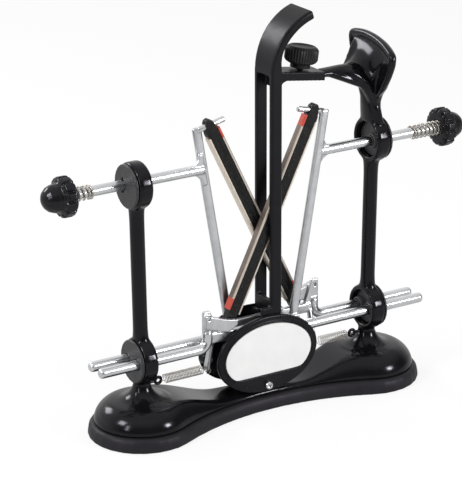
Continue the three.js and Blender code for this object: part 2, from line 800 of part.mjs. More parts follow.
const plateBack = bezelFront + PLATE_RECESS - SEAT_GAP;
const plate = slabXZ(badgePoints(SEAT_GAP * 1.4), plateBack - PLATE_T, plateBack);
add(sharpener, 'badge_plate', plate, PLATE_WHITE);

// A small pan head screw along Y; turn is -1 when its head faces the front
function panScrew(x, z, seatY, length, turn) {
  const profile = [
    [0, 0.9],
    [SCREW_HEAD_R * 0.7, 0.9],
    [SCREW_HEAD_R, 0.3],
    [SCREW_HEAD_R, 0],
    [SCREW_R, 0],
    [SCREW_R, -length],
    [0, -length],
  ];
  return lathe(profile, 16).rotateX((-turn * Math.PI) / 2).translate(x, seatY + turn * SEAT_GAP * 0.4, z);
}
const badgeScrewL = BEZEL_T + SCREW_DEEP * 0.7;
add(sharpener, 'badge_screw', panScrew(HOUSING_X, SCREW_Z, bezelFront, badgeScrewL, -1), SCREW_STEEL);

const standoffTip = coverFront - STANDOFF_L;
const standoff = (side) => bar(
  v3(HOUSING_X + side * STANDOFF_X, coverFront + COVER_T * 0.5, STANDOFF_Z),
  v3(HOUSING_X + side * STANDOFF_X, standoffTip, STANDOFF_Z),
  STANDOFF_R,
  18,
  STANDOFF_R * 0.86,
);
const standoffDrill = (side) => barY(
  standoffTip - 1,
  standoffTip + STANDOFF_L * 0.9,
  HOUSING_X + side * STANDOFF_X,
  STANDOFF_Z,
  SCREW_R + SEAT_GAP,
  SMALL_SIDES,
);
const rearCover = cut(
  join(roundedOval(coverFront, coverFront + COVER_T, COVER_T * 0.5), standoff(-1), standoff(1)),
  standoffDrill(-1),
  standoffDrill(1),
);
add(sharpener, 'rear_cover', rearCover, SATIN_BLACK);
for (const [word, side] of [['left', -1], ['right', 1]]) {
  const x = HOUSING_X + side * STANDOFF_X;
  const screw = panScrew(x, STANDOFF_Z, standoffTip, STANDOFF_L * 0.8, -1);
  add(sharpener, `rear_screw_${word}`, screw, SCREW_STEEL);
}

// Blade guide

function hook() {
  const STEPS = 11;
  const centreX = GUIDE_X + HOOK_R;
  const rings = [];
  for (let k = 0; k <= STEPS; k += 1) {
    const t = k / STEPS;
    const angle = Math.PI - HOOK_SWEEP * t;
    const half = THREE.MathUtils.lerp(guideHalf, HOOK_TIP_HALF, smooth(0, 1, t));
    const thick = THREE.MathUtils.lerp(GUIDE_T, HOOK_T, smooth(0, 0.35, t));
    const at = (r, y) => v3(centreX + r * Math.cos(angle), y, hookZ + r * Math.sin(angle));
    const inner = HOOK_R - thick;
    rings.push([
      at(HOOK_R, half - HOOK_EDGE),
      at(HOOK_R, -half + HOOK_EDGE),
      at(HOOK_R - HOOK_EDGE, -half),
      at(inner + HOOK_EDGE, -half),
      at(inner, -half + HOOK_EDGE),
      at(inner, half - HOOK_EDGE),
      at(inner + HOOK_EDGE, half),
      at(HOOK_R - HOOK_EDGE, half),
    ]);
  }
  return loft(rings);
}

function guideArm() {
  const top = (x) => armZ(x) + ARM_T / 2;
  const under = (x) => armZ(x) - ARM_T / 2;
  const outline = [v2(guideRight - 1, top(guideRight)), v2(guideRight - 1, under(guideRight) - ARM_FILLET)];
  for (let i = 0; i <= 5; i += 1) {
    const angle = Math.PI - (Math.PI / 2) * (i / 5);
    const x = guideRight + ARM_FILLET + ARM_FILLET * Math.cos(angle);
    outline.push(v2(x, under(x) - ARM_FILLET + ARM_FILLET * Math.sin(angle)));
  }
  outline.push(v2(ARM_END_X, under(ARM_END_X)), v2(ARM_END_X, top(ARM_END_X)));
  return slabXZ(outline, -ARM_HALF, ARM_HALF);
}

function columnBar(side) {
  const outer = guideHalf * side;
  const inner = slotHalf * side;
  const bevel = 0.8;
  const section = [
    [GUIDE_X, inner],
    [GUIDE_X, outer - bevel * side],
    [GUIDE_X + bevel, outer],
    [guideRight - bevel, outer],
    [guideRight, outer - bevel * side],
    [guideRight, inner],
  ];
  const ring = (z) => section.map(([x, y]) => v3(x, y, z));
  return loft([ring(GUIDE_FOOT_Z), ring(hookZ + 1)]);
}

// The bridge over the slot has a rounded corner on each side
const slotTop = [
  v2(-slotHalf - 1, hookZ + 1),
  v2(-slotHalf - 1, SLOT_TOP_Z - SLOT_ROUND),
  v2(-slotHalf, SLOT_TOP_Z - SLOT_ROUND),
  v2(-slotHalf + SLOT_ROUND * 0.3, SLOT_TOP_Z - SLOT_ROUND * 0.3),
  v2(-slotHalf + SLOT_ROUND, SLOT_TOP_Z),
  v2(slotHalf - SLOT_ROUND, SLOT_TOP_Z),
  v2(slotHalf - SLOT_ROUND * 0.3, SLOT_TOP_Z - SLOT_ROUND * 0.3),
  v2(slotHalf, SLOT_TOP_Z - SLOT_ROUND),
  v2(slotHalf + 1, SLOT_TOP_Z - SLOT_ROUND),
  v2(slotHalf + 1, hookZ + 1),
];

const thumbDrill = alongArm(barZ(
  0,
  ARM_T,
  (THUMB_X - ARM_END_X) / Math.cos(armAngle),
  0,
  THUMB_SHANK_R + SEAT_GAP,
  SMALL_SIDES,
));
const guide = cut(
  join(
    columnBar(-1),
    columnBar(1),
    box(GUIDE_X, GUIDE_X + GUIDE_WEB_T, -slotHalf - 1, slotHalf + 1, GUIDE_FOOT_Z, SLOT_BOTTOM_Z),
    slabYZ(slotTop, GUIDE_X, guideRight),
    box(GUIDE_X - LUG_L, GUIDE_X + 1, -guideHalf, -slotHalf, GUIDE_FOOT_Z, GUIDE_FOOT_Z + LUG_H),
    hook(),
    guideArm(),
  ),
  tongueSpan(SEAT_GAP),
  thumbDrill,
);
add(sharpener, 'blade_guide', guide, SATIN_BLACK);

// Thumb screw: knurled head, shoulder and shank, square to the sloping arm

function thumbScrew() {
  const teeth = (radius, z) => {
    const ring = [];
    for (let i = 0; i < THUMB_TEETH * 2; i += 1) {
      const angle = (Math.PI * i) / THUMB_TEETH;
      const r = i % 2 ? radius : radius - THUMB_TOOTH;
      ring.push(v3(r * Math.cos(angle), r * Math.sin(angle), z));
    }
    return ring;
  };
  const low = ARM_T / 2 + SEAT_GAP + THUMB_COLLAR_H;
  const head = loft([
    teeth(THUMB_R - THUMB_EDGE, low),
    teeth(THUMB_R, low + THUMB_EDGE),
    teeth(THUMB_R, low + THUMB_H - THUMB_EDGE),
    teeth(THUMB_R - THUMB_EDGE, low + THUMB_H),
  ]);
  const collar = barZ(ARM_T / 2 + SEAT_GAP, low + 1, 0, 0, THUMB_COLLAR_R, 20);
  const shank = barZ(TONGUE_T / 2 + SEAT_GAP, low, 0, 0, THUMB_SHANK_R, SMALL_SIDES);
  const body = join(head, collar, shank);
  return alongArm(body.translate((THUMB_X - ARM_END_X) / Math.cos(armAngle), 0, 0));
}
add(sharpener, 'thumb_screw', thumbScrew(), CARRIER_BLACK);

// Frames: built once for the left side, and turned half round about the blade plane for the right

const carrierUp = v3(-Math.sin(CARRIER_TILT), 0, Math.cos(CARRIER_TILT));
const carrierAcross = v3(Math.cos(CARRIER_TILT), 0, Math.sin(CARRIER_TILT));
function carrierPoint(along, across) {
  const p = v3(-CARRIER_X, CARRIER_Y, CARRIER_Z);
  return p.addScaledVector(carrierUp, along).addScaledVector(carrierAcross, across);
}
const pinWay = v3(Math.cos(PIN_RISE), 0, Math.sin(PIN_RISE));
const pinCentre = carrierPoint(PIN_AT, 0);
const pinRoot = pinCentre.clone().addScaledVector(pinWay, -(pinCentre.x + BAR_TOP_X) / pinWay.x);
const pegCentre = carrierPoint(PEG_AT, 0);

// The slanted bar has an eight sided section; above its wider foot it is straight
const barFootZ = LOWER_Z + ROD_R + BAR_W;
const barTopZ = pinRoot.z + PIN_R * 0.7;
const barXAt = (z) => THREE.MathUtils.mapLinear(z, barFootZ, barTopZ, -BAR_FOOT_X, -BAR_TOP_X);
function slantedBar() {
  const flat = BAR_T / 2 - BAR_EDGE;
  const ring = (z, half) => {
    const x = barXAt(Math.max(z, barFootZ));
    return [
      v3(x - half, BAR_Y - flat, z),
      v3(x - half + BAR_EDGE, BAR_Y - BAR_T / 2, z),
      v3(x + half - BAR_EDGE, BAR_Y - BAR_T / 2, z),
      v3(x + half, BAR_Y - flat, z),
      v3(x + half, BAR_Y + flat, z),
      v3(x + half - BAR_EDGE, BAR_Y + BAR_T / 2, z),
      v3(x - half + BAR_EDGE, BAR_Y + BAR_T / 2, z),
      v3(x - half, BAR_Y + flat, z),
    ];
  };
  return loft([
    ring(LOWER_Z - ROD_R * 0.6, BAR_W * 0.75),
    ring(LOWER_Z + ROD_R, BAR_W * 0.6),
    ring(barFootZ, BAR_W / 2),
    ring(barTopZ, BAR_W / 2),
  ]);
}

// A web with hollow sides where the upper rod runs into the slanted bar
function rodWeb() {
  const WEB_STEPS = 4;
  const shares = [];
  for (let i = 0; i <= WEB_STEPS; i += 1) shares.push((Math.PI / 2) * (i / WEB_STEPS));
  const hollow = (sign) => shares.map((angle) => {
    const z = UPPER_Z + sign * (ROD_R * 0.85 + WEB_L * (1 - Math.sin(angle)));
    return v2(barXAt(z) - BAR_W * 0.4 - WEB_L * (1 - Math.cos(angle)), z);
  });
  const wide = ROD_R * 0.85 + WEB_L;
  const outline = [
    ...hollow(-1),
    ...hollow(1).reverse(),
    v2(barXAt(UPPER_Z + wide), UPPER_Z + wide),
    v2(barXAt(UPPER_Z - wide), UPPER_Z - wide),
  ];
  return slabXZ(outline, UPPER_ROD_Y - BAR_T / 2, UPPER_ROD_Y + BAR_T / 2);
}

// Where a quarter circle of radius 1 has its curve handles, from the corner
const QUARTER_BOW = 0.448;

// A lower rod that comes in along X and turns up into the bracket
function elbowRod() {
  const bow = ELBOW_R * QUARTER_BOW;
  const turn = new THREE.CubicBezierCurve3(
    v3(stubX + ELBOW_R, LOWER_ROD_Y, LOWER_Z),
    v3(stubX + bow, LOWER_ROD_Y, LOWER_Z),
    v3(stubX, LOWER_ROD_Y, LOWER_Z + bow),
    v3(stubX, LOWER_ROD_Y, LOWER_Z + ELBOW_R),
  );
  const inward = v3(-1, 0, 0);
  return pipe([
    [v3(LOWER_ROD_END, LOWER_ROD_Y, LOWER_Z), inward, ROD_R - ROD_EDGE, ROD_R - ROD_EDGE],
    [v3(LOWER_ROD_END - ROD_EDGE, LOWER_ROD_Y, LOWER_Z), inward, ROD_R, ROD_R],
    ...stationsOn(turn, 5, () => [ROD_R, ROD_R]),
    [v3(stubX, LOWER_ROD_Y, LINK_Z + LINK_H), v3(0, 0, 1), ROD_R, ROD_R],
  ], ROD_SIDES);
}

// The bracket: an upright plate on the elbow, and a block that holds the peg of the carrier
function bracket() {
  const plateY = LOWER_ROD_Y - BRACKET_T / 2;
  const plateLow = LINK_Z - LINK_H / 2;
  const plate = slabXZ([
    v2(BRACKET_OUT, plateLow),
    v2(BRACKET_OUT, BRACKET_TOP_Z),
    v2(BRACKET_OUT - BRACKET_TOP_W, BRACKET_TOP_Z),
    v2(BRACKET_FOOT_X, plateLow),
  ].reverse(), plateY, plateY + BRACKET_T);
  const tip = PEG_R + 2;
  const blockTop = BRACKET_TOP_Z - 1.5;
  const block = slabXZ([
    v2(BRACKET_OUT, blockTop - BLOCK_H),
    v2(BRACKET_OUT, blockTop),
    v2(pegCentre.x + tip, pegCentre.z + tip * 0.7),
    v2(pegCentre.x - tip * 0.7, pegCentre.z + tip * 0.4),
    v2(pegCentre.x - tip * 0.7, pegCentre.z - tip * 0.5),
    v2(pegCentre.x + tip, pegCentre.z - tip * 1.5),
  ].reverse(), LOWER_ROD_Y + BRACKET_T / 2 - 0.5, coreY);
  const pegEnd = LOWER_ROD_Y + BRACKET_T / 2 + 1;
  const peg = barY(CARRIER_Y - CARRIER_T / 2, pegEnd, pegCentre.x, pegCentre.z, PEG_R, SMALL_SIDES);
  const tab = slabYZ([
    v2(LOWER_ROD_Y - LINK_T / 2, LINK_Z),
    v2(-TAB_W / 2 + 0.6, SPRING_Z + TAB_W * 0.7),
    v2(-TAB_W / 2, SPRING_Z),
    v2(-TAB_W / 4, SPRING_Z - TAB_W / 2),
    v2(TAB_W / 4, SPRING_Z - TAB_W / 2),
    v2(TAB_W / 2, SPRING_Z),
    v2(LOWER_ROD_Y + LINK_T / 2, LINK_Z),
  ], TAB_X, TAB_X + TAB_T);
  const tabHole = barX(TAB_X - 1, TAB_X + TAB_T + 1, 0, SPRING_Z, TAB_HOLE_R, SMALL_SIDES);
  const lockX = BRACKET_OUT - BRACKET_TOP_W / 2;
  const lockZ = BRACKET_TOP_Z - BRACKET_TOP_W * 0.8;
  const lockHole = barY(plateY - 1, coreY + 1, lockX, lockZ, TAB_HOLE_R, SMALL_SIDES);
  return cut(join(plate, block, peg, tab), tabHole, lockHole);
}

// The link joins the foot of the slanted bar to the bracket on the other side
function link() {
  return box(
    -BAR_FOOT_X - BAR_W / 2,
    stubX,
    LOWER_ROD_Y - LINK_T / 2,
    LOWER_ROD_Y + LINK_T / 2,
    LINK_Z - LINK_H / 2,
    LINK_Z + LINK_H / 2,
  );
}

const rodInKnob = KNOB_FACE + KNOB_BORE_L - 1;
function frameCasting() {
  return join(
    barX(-LOWER_ROD_END, -BAR_FOOT_X + BAR_W / 2, LOWER_ROD_Y, LOWER_Z, ROD_R),
    barX(-rodInKnob, barXAt(UPPER_Z), UPPER_ROD_Y, UPPER_Z, ROD_R),
    rodWeb(),
    slantedBar(),
    bar(pinRoot, pinRoot.clone().addScaledVector(pinWay, PIN_L), PIN_R, SMALL_SIDES, PIN_R * 0.7),
    link(),
    elbowRod(),
    bracket(),
  );
}

function carrierBlock(alongLow, alongHigh, acrossLow, acrossHigh, thick) {
  const geometry = box(acrossLow, acrossHigh, -thick / 2, thick / 2, alongLow, alongHigh);
  return geometry.rotateY(-CARRIER_TILT).translate(-CARRIER_X, CARRIER_Y, CARRIER_Z);
}

function carrier() {
  const w = CARRIER_W / 2;
  const half = CARRIER_T / 2;
  const outline = [
    v2(-w, carrierBottom + 1),
    v2(-w + 1, carrierBottom),
    v2(w - 1, carrierBottom),
    v2(w, carrierBottom + 1),
    v2(w, diamondTop + 1.2),
    v2(w * 0.72, carrierTop - 1.8),
    v2(w * 0.3, carrierTop - 0.3),
    v2(-w * 0.3, carrierTop - 0.3),
    v2(-w * 0.72, carrierTop - 1.8),
    v2(-w - 0.9, finishTop + 2.6),
    v2(-w - 0.9, finishTop + SEAT_GAP),
    v2(-w, finishTop + SEAT_GAP),
  ];
  const body = slabXZ(outline, -half, half);
  body.rotateY(-CARRIER_TILT).translate(-CARRIER_X, CARRIER_Y, CARRIER_Z);
  const reach = pinWay.clone().multiplyScalar(CARRIER_W * 1.5);
  const pinFrom = pinCentre.clone().sub(reach);
  const pinHole = bar(pinFrom, pinCentre.clone().add(reach), PIN_R + RUN_GAP, SMALL_SIDES);
  const forkR = PEG_R + RUN_GAP * 0.8;
  const forkSlot = carrierBlock(carrierBottom - 2, PEG_AT, -forkR, forkR, CARRIER_T + 2);
  const deep = CARRIER_Y + CARRIER_T;
  const forkEnd = barY(CARRIER_Y - CARRIER_T, deep, pegCentre.x, pegCentre.z, forkR, ROD_SIDES);
  const groove = carrierBlock(diamondBottom + w, finishTop - w, -w * 0.28, w * 0.28, 1);
  groove.translate(0, -half, 0);
  return cut(body, pinHole, forkSlot, forkEnd, groove);
}

// A ground strip with bevelled long edges, lying on one face of its carrier
function stripBar(low, high, side) {
  const seat = CARRIER_W / 2 + SEAT_GAP * 0.6;
  const half = CARRIER_T / 2;
  const bevel = STRIP_T * 0.45;
  const section = [
    [seat, -half],
    [seat + STRIP_T - bevel, -half],
    [seat + STRIP_T, -half + bevel],
    [seat + STRIP_T, half - bevel],
    [seat + STRIP_T - bevel, half],
    [seat, half],
  ];
  const ring = (along) => section.map(([out, y]) => carrierPoint(along, side * out).add(v3(0, y, 0)));
  return loft([ring(low), ring(high)]);
}

function knob() {
  // Each lobe is three points: the bottom of its groove and the two edges of its flat top
  const ring = (radius, depth, x) => {
    const points = [];
    for (let i = 0; i < KNOB_LOBES; i += 1) {
      for (const [share, drop] of [[0, depth], [0.2, 0], [0.8, 0]]) {
        const angle = (2 * Math.PI * (i + share)) / KNOB_LOBES;
        const r = radius - drop;
        points.push(v3(-x, UPPER_ROD_Y + r * Math.cos(angle), UPPER_Z + r * Math.sin(angle)));
      }
    }
    return points;
  };
  const face = KNOB_FACE;
  const back = KNOB_FACE + KNOB_FLANGE_T;
  const dome = KNOB_END - KNOB_DOME_R;
  const rings = [
    ring(KNOB_DOME_R, 0, face),
    ring(KNOB_FLANGE_R - 1.2, KNOB_GROOVE, face + 0.5),
    ring(KNOB_FLANGE_R, KNOB_GROOVE, face + 1.6),
    ring(KNOB_FLANGE_R, KNOB_GROOVE, back - 1.2),
    ring(KNOB_FLANGE_R - 1.4, KNOB_GROOVE, back - 0.3),
    ring(KNOB_DOME_R + 0.7, 0, back),
    ring(KNOB_DOME_R, 0, back + 0.6),
  ];
  for (const degrees of [10, 32, 52, 68, 82]) {
    const angle = THREE.MathUtils.degToRad(degrees);
    rings.push(ring(KNOB_DOME_R * Math.cos(angle), 0, dome + KNOB_DOME_R * Math.sin(angle)));
  }
  const bore = barX(-face + 1, -face - KNOB_BORE_L, UPPER_ROD_Y, UPPER_Z, ROD_R + SEAT_GAP, ROD_SIDES);
  const recessR = bumperR + BUMPER_WIRE / 2 + RUN_GAP;
  const recess = barX(-face + 1, -face - KNOB_RECESS, UPPER_ROD_Y, UPPER_Z, recessR, ROUND);
  return cut(loft(rings), bore, recess);
}

// A coil along X from x0 to x1: one tube whose ends run straight for one wire diameter
function coil(x0, x1, y, z, radius, wire, turns) {
  const way = Math.sign(x1 - x0);
  const lead = wire * way;
  const steps = turns * SPRING_STEPS;
  const centres = [v3(x0, y + radius, z)];
  for (let i = 0; i <= steps; i += 1) {
    const angle = (2 * Math.PI * i) / SPRING_STEPS;
    const x = x0 + lead + ((x1 - x0 - 2 * lead) * i) / steps;
    centres.push(v3(x, y + radius * Math.cos(angle), z + radius * Math.sin(angle)));
  }
  centres.push(v3(x1, y + radius, z));
  const last = centres.length - 1;
  const rings = centres.map((centre, i) => {
    const before = centres[Math.max(i - 1, 0)];
    const after = centres[Math.min(i + 1, last)];
    const along = after.clone().sub(before).normalize();
    if (i === 0 || i === last) along.set(way, 0, 0);
    const out = v3(0, centre.y - y, centre.z - z);
    out.addScaledVector(along, -out.dot(along)).normalize();
    const side = along.clone().cross(out);
    const ring = [];
    for (let k = 0; k < SPRING_SIDES; k += 1) {
      const angle = (2 * Math.PI * k) / SPRING_SIDES;
      const p = centre.clone().addScaledVector(out, (wire / 2) * Math.cos(angle));
      ring.push(p.addScaledVector(side, (wire / 2) * Math.sin(angle)));
    }
    return ring;
  });
  let least = Infinity;
  for (let i = 0; i < centres.length; i += 1) {
    for (let j = i + SPRING_STEPS / 2; j < centres.length; j += 1) {
      least = Math.min(least, centres[i].distanceTo(centres[j]) - wire);
    }
  }
  return { geometry: loft(rings), least };
}

for (const [word, turn, turns] of [['left', 0, LEFT_BUMPER_TURNS], ['right', Math.PI, RIGHT_BUMPER_TURNS]]) {
  const group = new THREE.Group();
  group.position.set(BLADE_X, 0, 0);
  group.rotation.z = turn;
  sharpener.add(group);
  add(group, `${word}_frame`, frameCasting(), CAST_BRIGHT);
  add(group, `${word}_carrier`, carrier(), CARRIER_BLACK);
  add(group, `${word}_diamond_strip`, stripBar(diamondBottom, diamondTop, 1), DIAMOND);
  add(group, `${word}_finishing_strip`, stripBar(finishBottom, finishTop, -1), FINISHING);
  add(group, `${word}_knob`, knob(), GLOSS_BLACK);
  const seat = -KNOB_FACE - KNOB_RECESS + SEAT_GAP;
  const free = seat + turns * BUMPER_PITCH;
  const bumper = coil(seat, free, UPPER_ROD_Y, UPPER_Z, bumperR, BUMPER_WIRE, turns);
  add(group, `${word}_bumper_spring`, bumper.geometry, SPRING_STEEL);
  console.log(`${word}_bumper_spring least gap ${bumper.least.toFixed(2)} mm`);
}

// Return springs: each runs from the eye of one post to the tab of the frame that it closes
for (const [word, side, turns] of [['left', -1, LEFT_SPRING_TURNS], ['right', 1, RIGHT_SPRING_TURNS]]) {
  const outer = side * (eyeX - EYE_R - EYE_WIRE - SEAT_GAP);
  const inner = side * (TAB_X + TAB_T + SEAT_GAP) + BLADE_X;
  const spring = coil(outer, inner, 0, SPRING_Z, SPRING_R, SPRING_WIRE, turns);
  add(sharpener, `${word}_return_spring`, spring.geometry, SPRING_STEEL);
  console.log(`${word}_return_spring least gap ${spring.least.toFixed(2)} mm`);
}

sharpener.position.x = -BLADE_X;

export default sharpener;
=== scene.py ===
"""Looks of the diamond rod knife sharpener: camera, light, finishes and the fine pieces.

Lengths are in metres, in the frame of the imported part: +X to the hand rest, -Y to the front, +Z up.
Only the lines of places for smooth curves, with their radii, are in millimetres.
"""

import json
import math

import bmesh
import bpy
from mathutils import Matrix, Vector
from mathutils.bvhtree import BVHTree


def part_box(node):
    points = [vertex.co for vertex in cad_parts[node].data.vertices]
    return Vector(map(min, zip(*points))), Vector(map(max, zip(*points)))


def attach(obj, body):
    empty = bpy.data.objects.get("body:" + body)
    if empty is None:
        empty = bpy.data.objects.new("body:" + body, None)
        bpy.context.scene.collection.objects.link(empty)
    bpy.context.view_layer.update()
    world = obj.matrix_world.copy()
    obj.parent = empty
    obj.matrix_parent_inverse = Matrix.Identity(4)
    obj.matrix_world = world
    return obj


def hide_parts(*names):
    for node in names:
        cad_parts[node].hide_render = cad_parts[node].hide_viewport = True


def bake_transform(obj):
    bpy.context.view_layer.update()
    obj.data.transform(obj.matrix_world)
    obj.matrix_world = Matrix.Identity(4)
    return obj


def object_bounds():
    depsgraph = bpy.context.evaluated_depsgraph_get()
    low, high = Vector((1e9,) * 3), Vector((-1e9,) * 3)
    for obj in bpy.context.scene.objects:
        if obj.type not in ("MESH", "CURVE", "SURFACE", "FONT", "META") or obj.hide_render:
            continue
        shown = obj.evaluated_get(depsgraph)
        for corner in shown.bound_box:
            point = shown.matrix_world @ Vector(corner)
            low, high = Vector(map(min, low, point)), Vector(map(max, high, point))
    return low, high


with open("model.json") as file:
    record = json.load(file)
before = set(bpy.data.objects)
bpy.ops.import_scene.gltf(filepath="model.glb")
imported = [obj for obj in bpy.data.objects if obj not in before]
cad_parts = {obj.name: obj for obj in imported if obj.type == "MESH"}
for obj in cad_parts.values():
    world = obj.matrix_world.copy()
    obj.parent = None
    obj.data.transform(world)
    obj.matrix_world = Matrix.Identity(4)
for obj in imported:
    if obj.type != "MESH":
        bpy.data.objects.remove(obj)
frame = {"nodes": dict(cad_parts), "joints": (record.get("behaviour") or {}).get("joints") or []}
cad_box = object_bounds()
nodes = frame["nodes"]
joints = {joint["name"]: joint for joint in frame["joints"]}

MM = 0.001
RIGHT = Vector((1.0, 0.0, 0.0))
BACK = Vector((0.0, 1.0, 0.0))
FRONT = Vector((0.0, -1.0, 0.0))
DOWN = Vector((0.0, 0.0, -1.0))
SIDES = (("left", -1), ("right", 1))

# Camera, solved from the photograph
PHOTO_WIDTH = 462
PHOTO_HEIGHT = 500
CAMERA_AZIMUTH = math.radians(-32.6)
CAMERA_ELEVATION = math.radians(19.45)
CAMERA_DISTANCE = 1.35
FOCAL_PIXELS = 2424.2
SENSOR = 36.0
AIM_POINT = Vector((-1.2 * MM, 0.0, 110 * MM))
AIM_PIXEL = (259.2, 220.6)

# Lamps: name, direction from the aim point, distance, width and height, watts
LAMPS = (
    ("back_left", (-0.36, 0.79, 0.49), 1.2, (0.42, 0.3), 4.4),
    ("upper_left", (-0.84, -0.02, 0.57), 1.2, (0.3, 0.3), 6),
    ("front_right", (0.51, -0.81, 0.3), 1.2, (0.22, 0.26), 8.5),
    ("left", (-0.9, -0.35, 0.35), 1.3, (0.14, 0.5), 2.5),
)

# World: what gloss mirrors behind and above the part, as (low, high, start, end) of the direction, then the
# strengths for matt surfaces and for the camera
WORLD_BEHIND = (0.1, 0.95, -0.2, 0.5)
WORLD_ABOVE = (0.0, 0.8, 0.35, 0.8)
WORLD_PLAIN = 0.62
WORLD_SEEN = 1.0

# Floor: the share of its glow that the camera and gloss see, and how much darker gloss sees it
FLOOR_REACH = 12.0
FLOOR_WHITE = (0.9, 0.9, 0.9, 1.0)
FLOOR_SEEN = 0.8
FLOOR_MIRRORED = 0.75
FLOOR_DARKER = 0.48

# Finishes
GLOSS_BLACK_SPECULAR = 0.24
SATIN_BLACK_SPECULAR = 0.2
COOL_TINT = (0.93, 0.89, 1.0, 1.0)
NOISE_ROUGHNESS = 0.55
GLOSS_PATCH_SHARE = 2.3
WORN_SPAN = (0.53, 0.62)
ROD_LINES = (700, 2.0, (0.03, 1.0, 1.0))
SPECK_GRAIN = 2600
SPECK_SPAN = (0.66, 0.74)
RED_GRAIN = 1200
GRIT_METALLIC = 0.45
# Numbers of a mix node's two inputs and its output
MIX_SOCKETS = {"RGBA": (6, 7, 2), "FLOAT": (2, 3, 0)}

# How pieces are rounded: the cell size of an even skin, and how often it is smoothed
SKINS = {
    "castings": (0.5 * MM, 26),
    "guide": (0.4 * MM, 8),
    "boot": (0.7 * MM, 8),
    "housing": (0.5 * MM, 4),
    "bolt": (0.4 * MM, 1),
    "bush": (0.4 * MM, 2),
    "eye": (0.22 * MM, 3),
    "frame": (0.36 * MM, 12),
    "carrier": (0.36 * MM, 4),
    "knob": (0.3 * MM, 9),
}
SMOOTH_FACTOR = 0.5
# Crisp pieces keep their faces, and get a narrow round edge
DIAMOND_EDGE = 0.35 * MM
FINISHING_EDGE = 0.3 * MM
EDGE_SEGMENTS = 3
EDGE_ANGLE = math.radians(35)
TURNED_ANGLE = math.radians(40)

# Base, as in the CAD
WAIST_HALF = 13.2 * MM
CASTING_INSET = 3.4 * MM
CASTING_FOOT_Z = 8.25 * MM
PAD_R = 16.6 * MM
PAD_Z = 20.5 * MM
WAIST_TOP_Z = 11 * MM
WAIST_TOP_SHARE = 0.8
DOME_POWERS = (1.9, 0.6)
PAD_RISE_START = 0.3
PAD_RISE_SPAN = 0.55
LOBE_STEPS = 28
WAIST_STEPS = 56
BASE_LEVELS = 16

# The scoop sweeps from the arm up into the wing; each line of places runs from its back edge to its front
SCOOP_ARM = ((60, 9.5), (56, 5.5), (54, 1), (59, -4.5), (66, -7.6))
SCOOP_BEND = ((69.5, 17, 195.5), (69.5, 11, 191), (69, 5, 188), (68.2, -2, 185), (68, -8.5, 182))
SCOOP_WING = ((21, 201.5), (15, 201.5), (6, 201.5), (-4, 200), (-12, 194))
SCOOP_DEPTH = 2.2 * MM
SCOOP_STEPS = 24
SCOOP_POINTS = 12

# The ridge rolls from the arm's front edge down into the neck; places and radii
RIDGE_PATH = ((48, -2.2, 188), (56, -3.8, 186.8), (62.5, -5, 183), (67.4, -5.8, 177), (72, -4, 167))
RIDGE_R = (2.2, 3.2, 3.6, 3.6, 1.8)
RIDGE_STEPS = 20

# The lip rolls round the wing's edge, from its front foot over the top to its back foot; places and radii
WING_LIP_PATH = (
    (71.3, -9.2, 173.2), (71.0, -14.2, 178.0), (71.0, -19.2, 186.0), (71.2, -22.3, 193.0),
    (71.4, -22.7, 197.2), (72.0, -20.6, 199.2), (73.8, -11.2, 202.2), (75.3, 0.0, 203.8),
    (76.1, 11.2, 204.0), (76.2, 20.8, 202.6), (76.3, 22.9, 200.6), (76.1, 22.2, 196.4),
    (75.2, 19.2, 188.6), (74.2, 14.4, 180.6),
)
WING_LIP_R = (1.2, 1.8, 2.2, 2.3, 2.3, 2.3, 2.3, 2.3, 2.3, 2.3, 2.3, 2.2, 1.8, 1.2)
WING_LIP_STEPS = 104
# Points round a bead, and the share of its path on either side that gives its direction
BEAD_SIDES = 24
BEAD_LOOK = 0.01

# Collars round the rod holes
COLLAR_R = 4.6 * MM
COLLAR_H = 2.4 * MM
COLLAR_BORE = 3.3 * MM
COLLAR_SUNK = 0.3 * MM
COLLAR_DRAFT = 0.4 * MM
COLLAR_EDGE = 0.3 * MM
COLLAR_SIDES = 48

# The outer face of the guide's hook
HOOK_R = 35 * MM
HOOK_SWEEP = math.radians(73.5)
HOOK_FOOT = Vector((36.2, 0, 195.04)) * MM
HOOK_HALF = (8.2 * MM, 10 * MM)
HOOK_SKIN = 1.5 * MM
HOOK_STEPS = 72

# Badge: an oval rim round a recess with a straight foot, and the plate in it
BADGE_POINTS = 180
BADGE_RIM = 4.5 * MM
BADGE_FOOT = 11.9 * MM
BADGE_CORNER = 0.9 * MM
BADGE_CORNER_CAP = 60.0
BADGE_EDGE = 0.9 * MM
BADGE_EDGE_TURNS = (30, 60, 90)
BADGE_WELD = 0.001 * MM
BADGE_LIP = 0.8 * MM
BADGE_LIP_RISE = 0.7 * MM
# The lip's section, from the rim to the recess: shares of its width and of its rise
BADGE_LIP_SECTION = (
    (1.9, 1.0), (1.55, 0.75), (1.3, 0.15), (0.9, 0.0), (0.5, 0.12), (0.2, 0.4), (0.0, 1.0),
)
PLATE_GAP = 0.1 * MM
PLATE_EDGE = 0.2 * MM

# Screw heads with a socket: shares of the head's radius, as (radius, depth under the top)
SCREW_SHANK = 0.5
SCREW_HEAD = (
    (1.0, 1.0), (1.0, 0.4), (0.9, 0.16), (0.74, 0.0), (0.52, 0.0), (0.48, 0.5), (0.16, 0.5),
)
SCREW_SIDES = 36

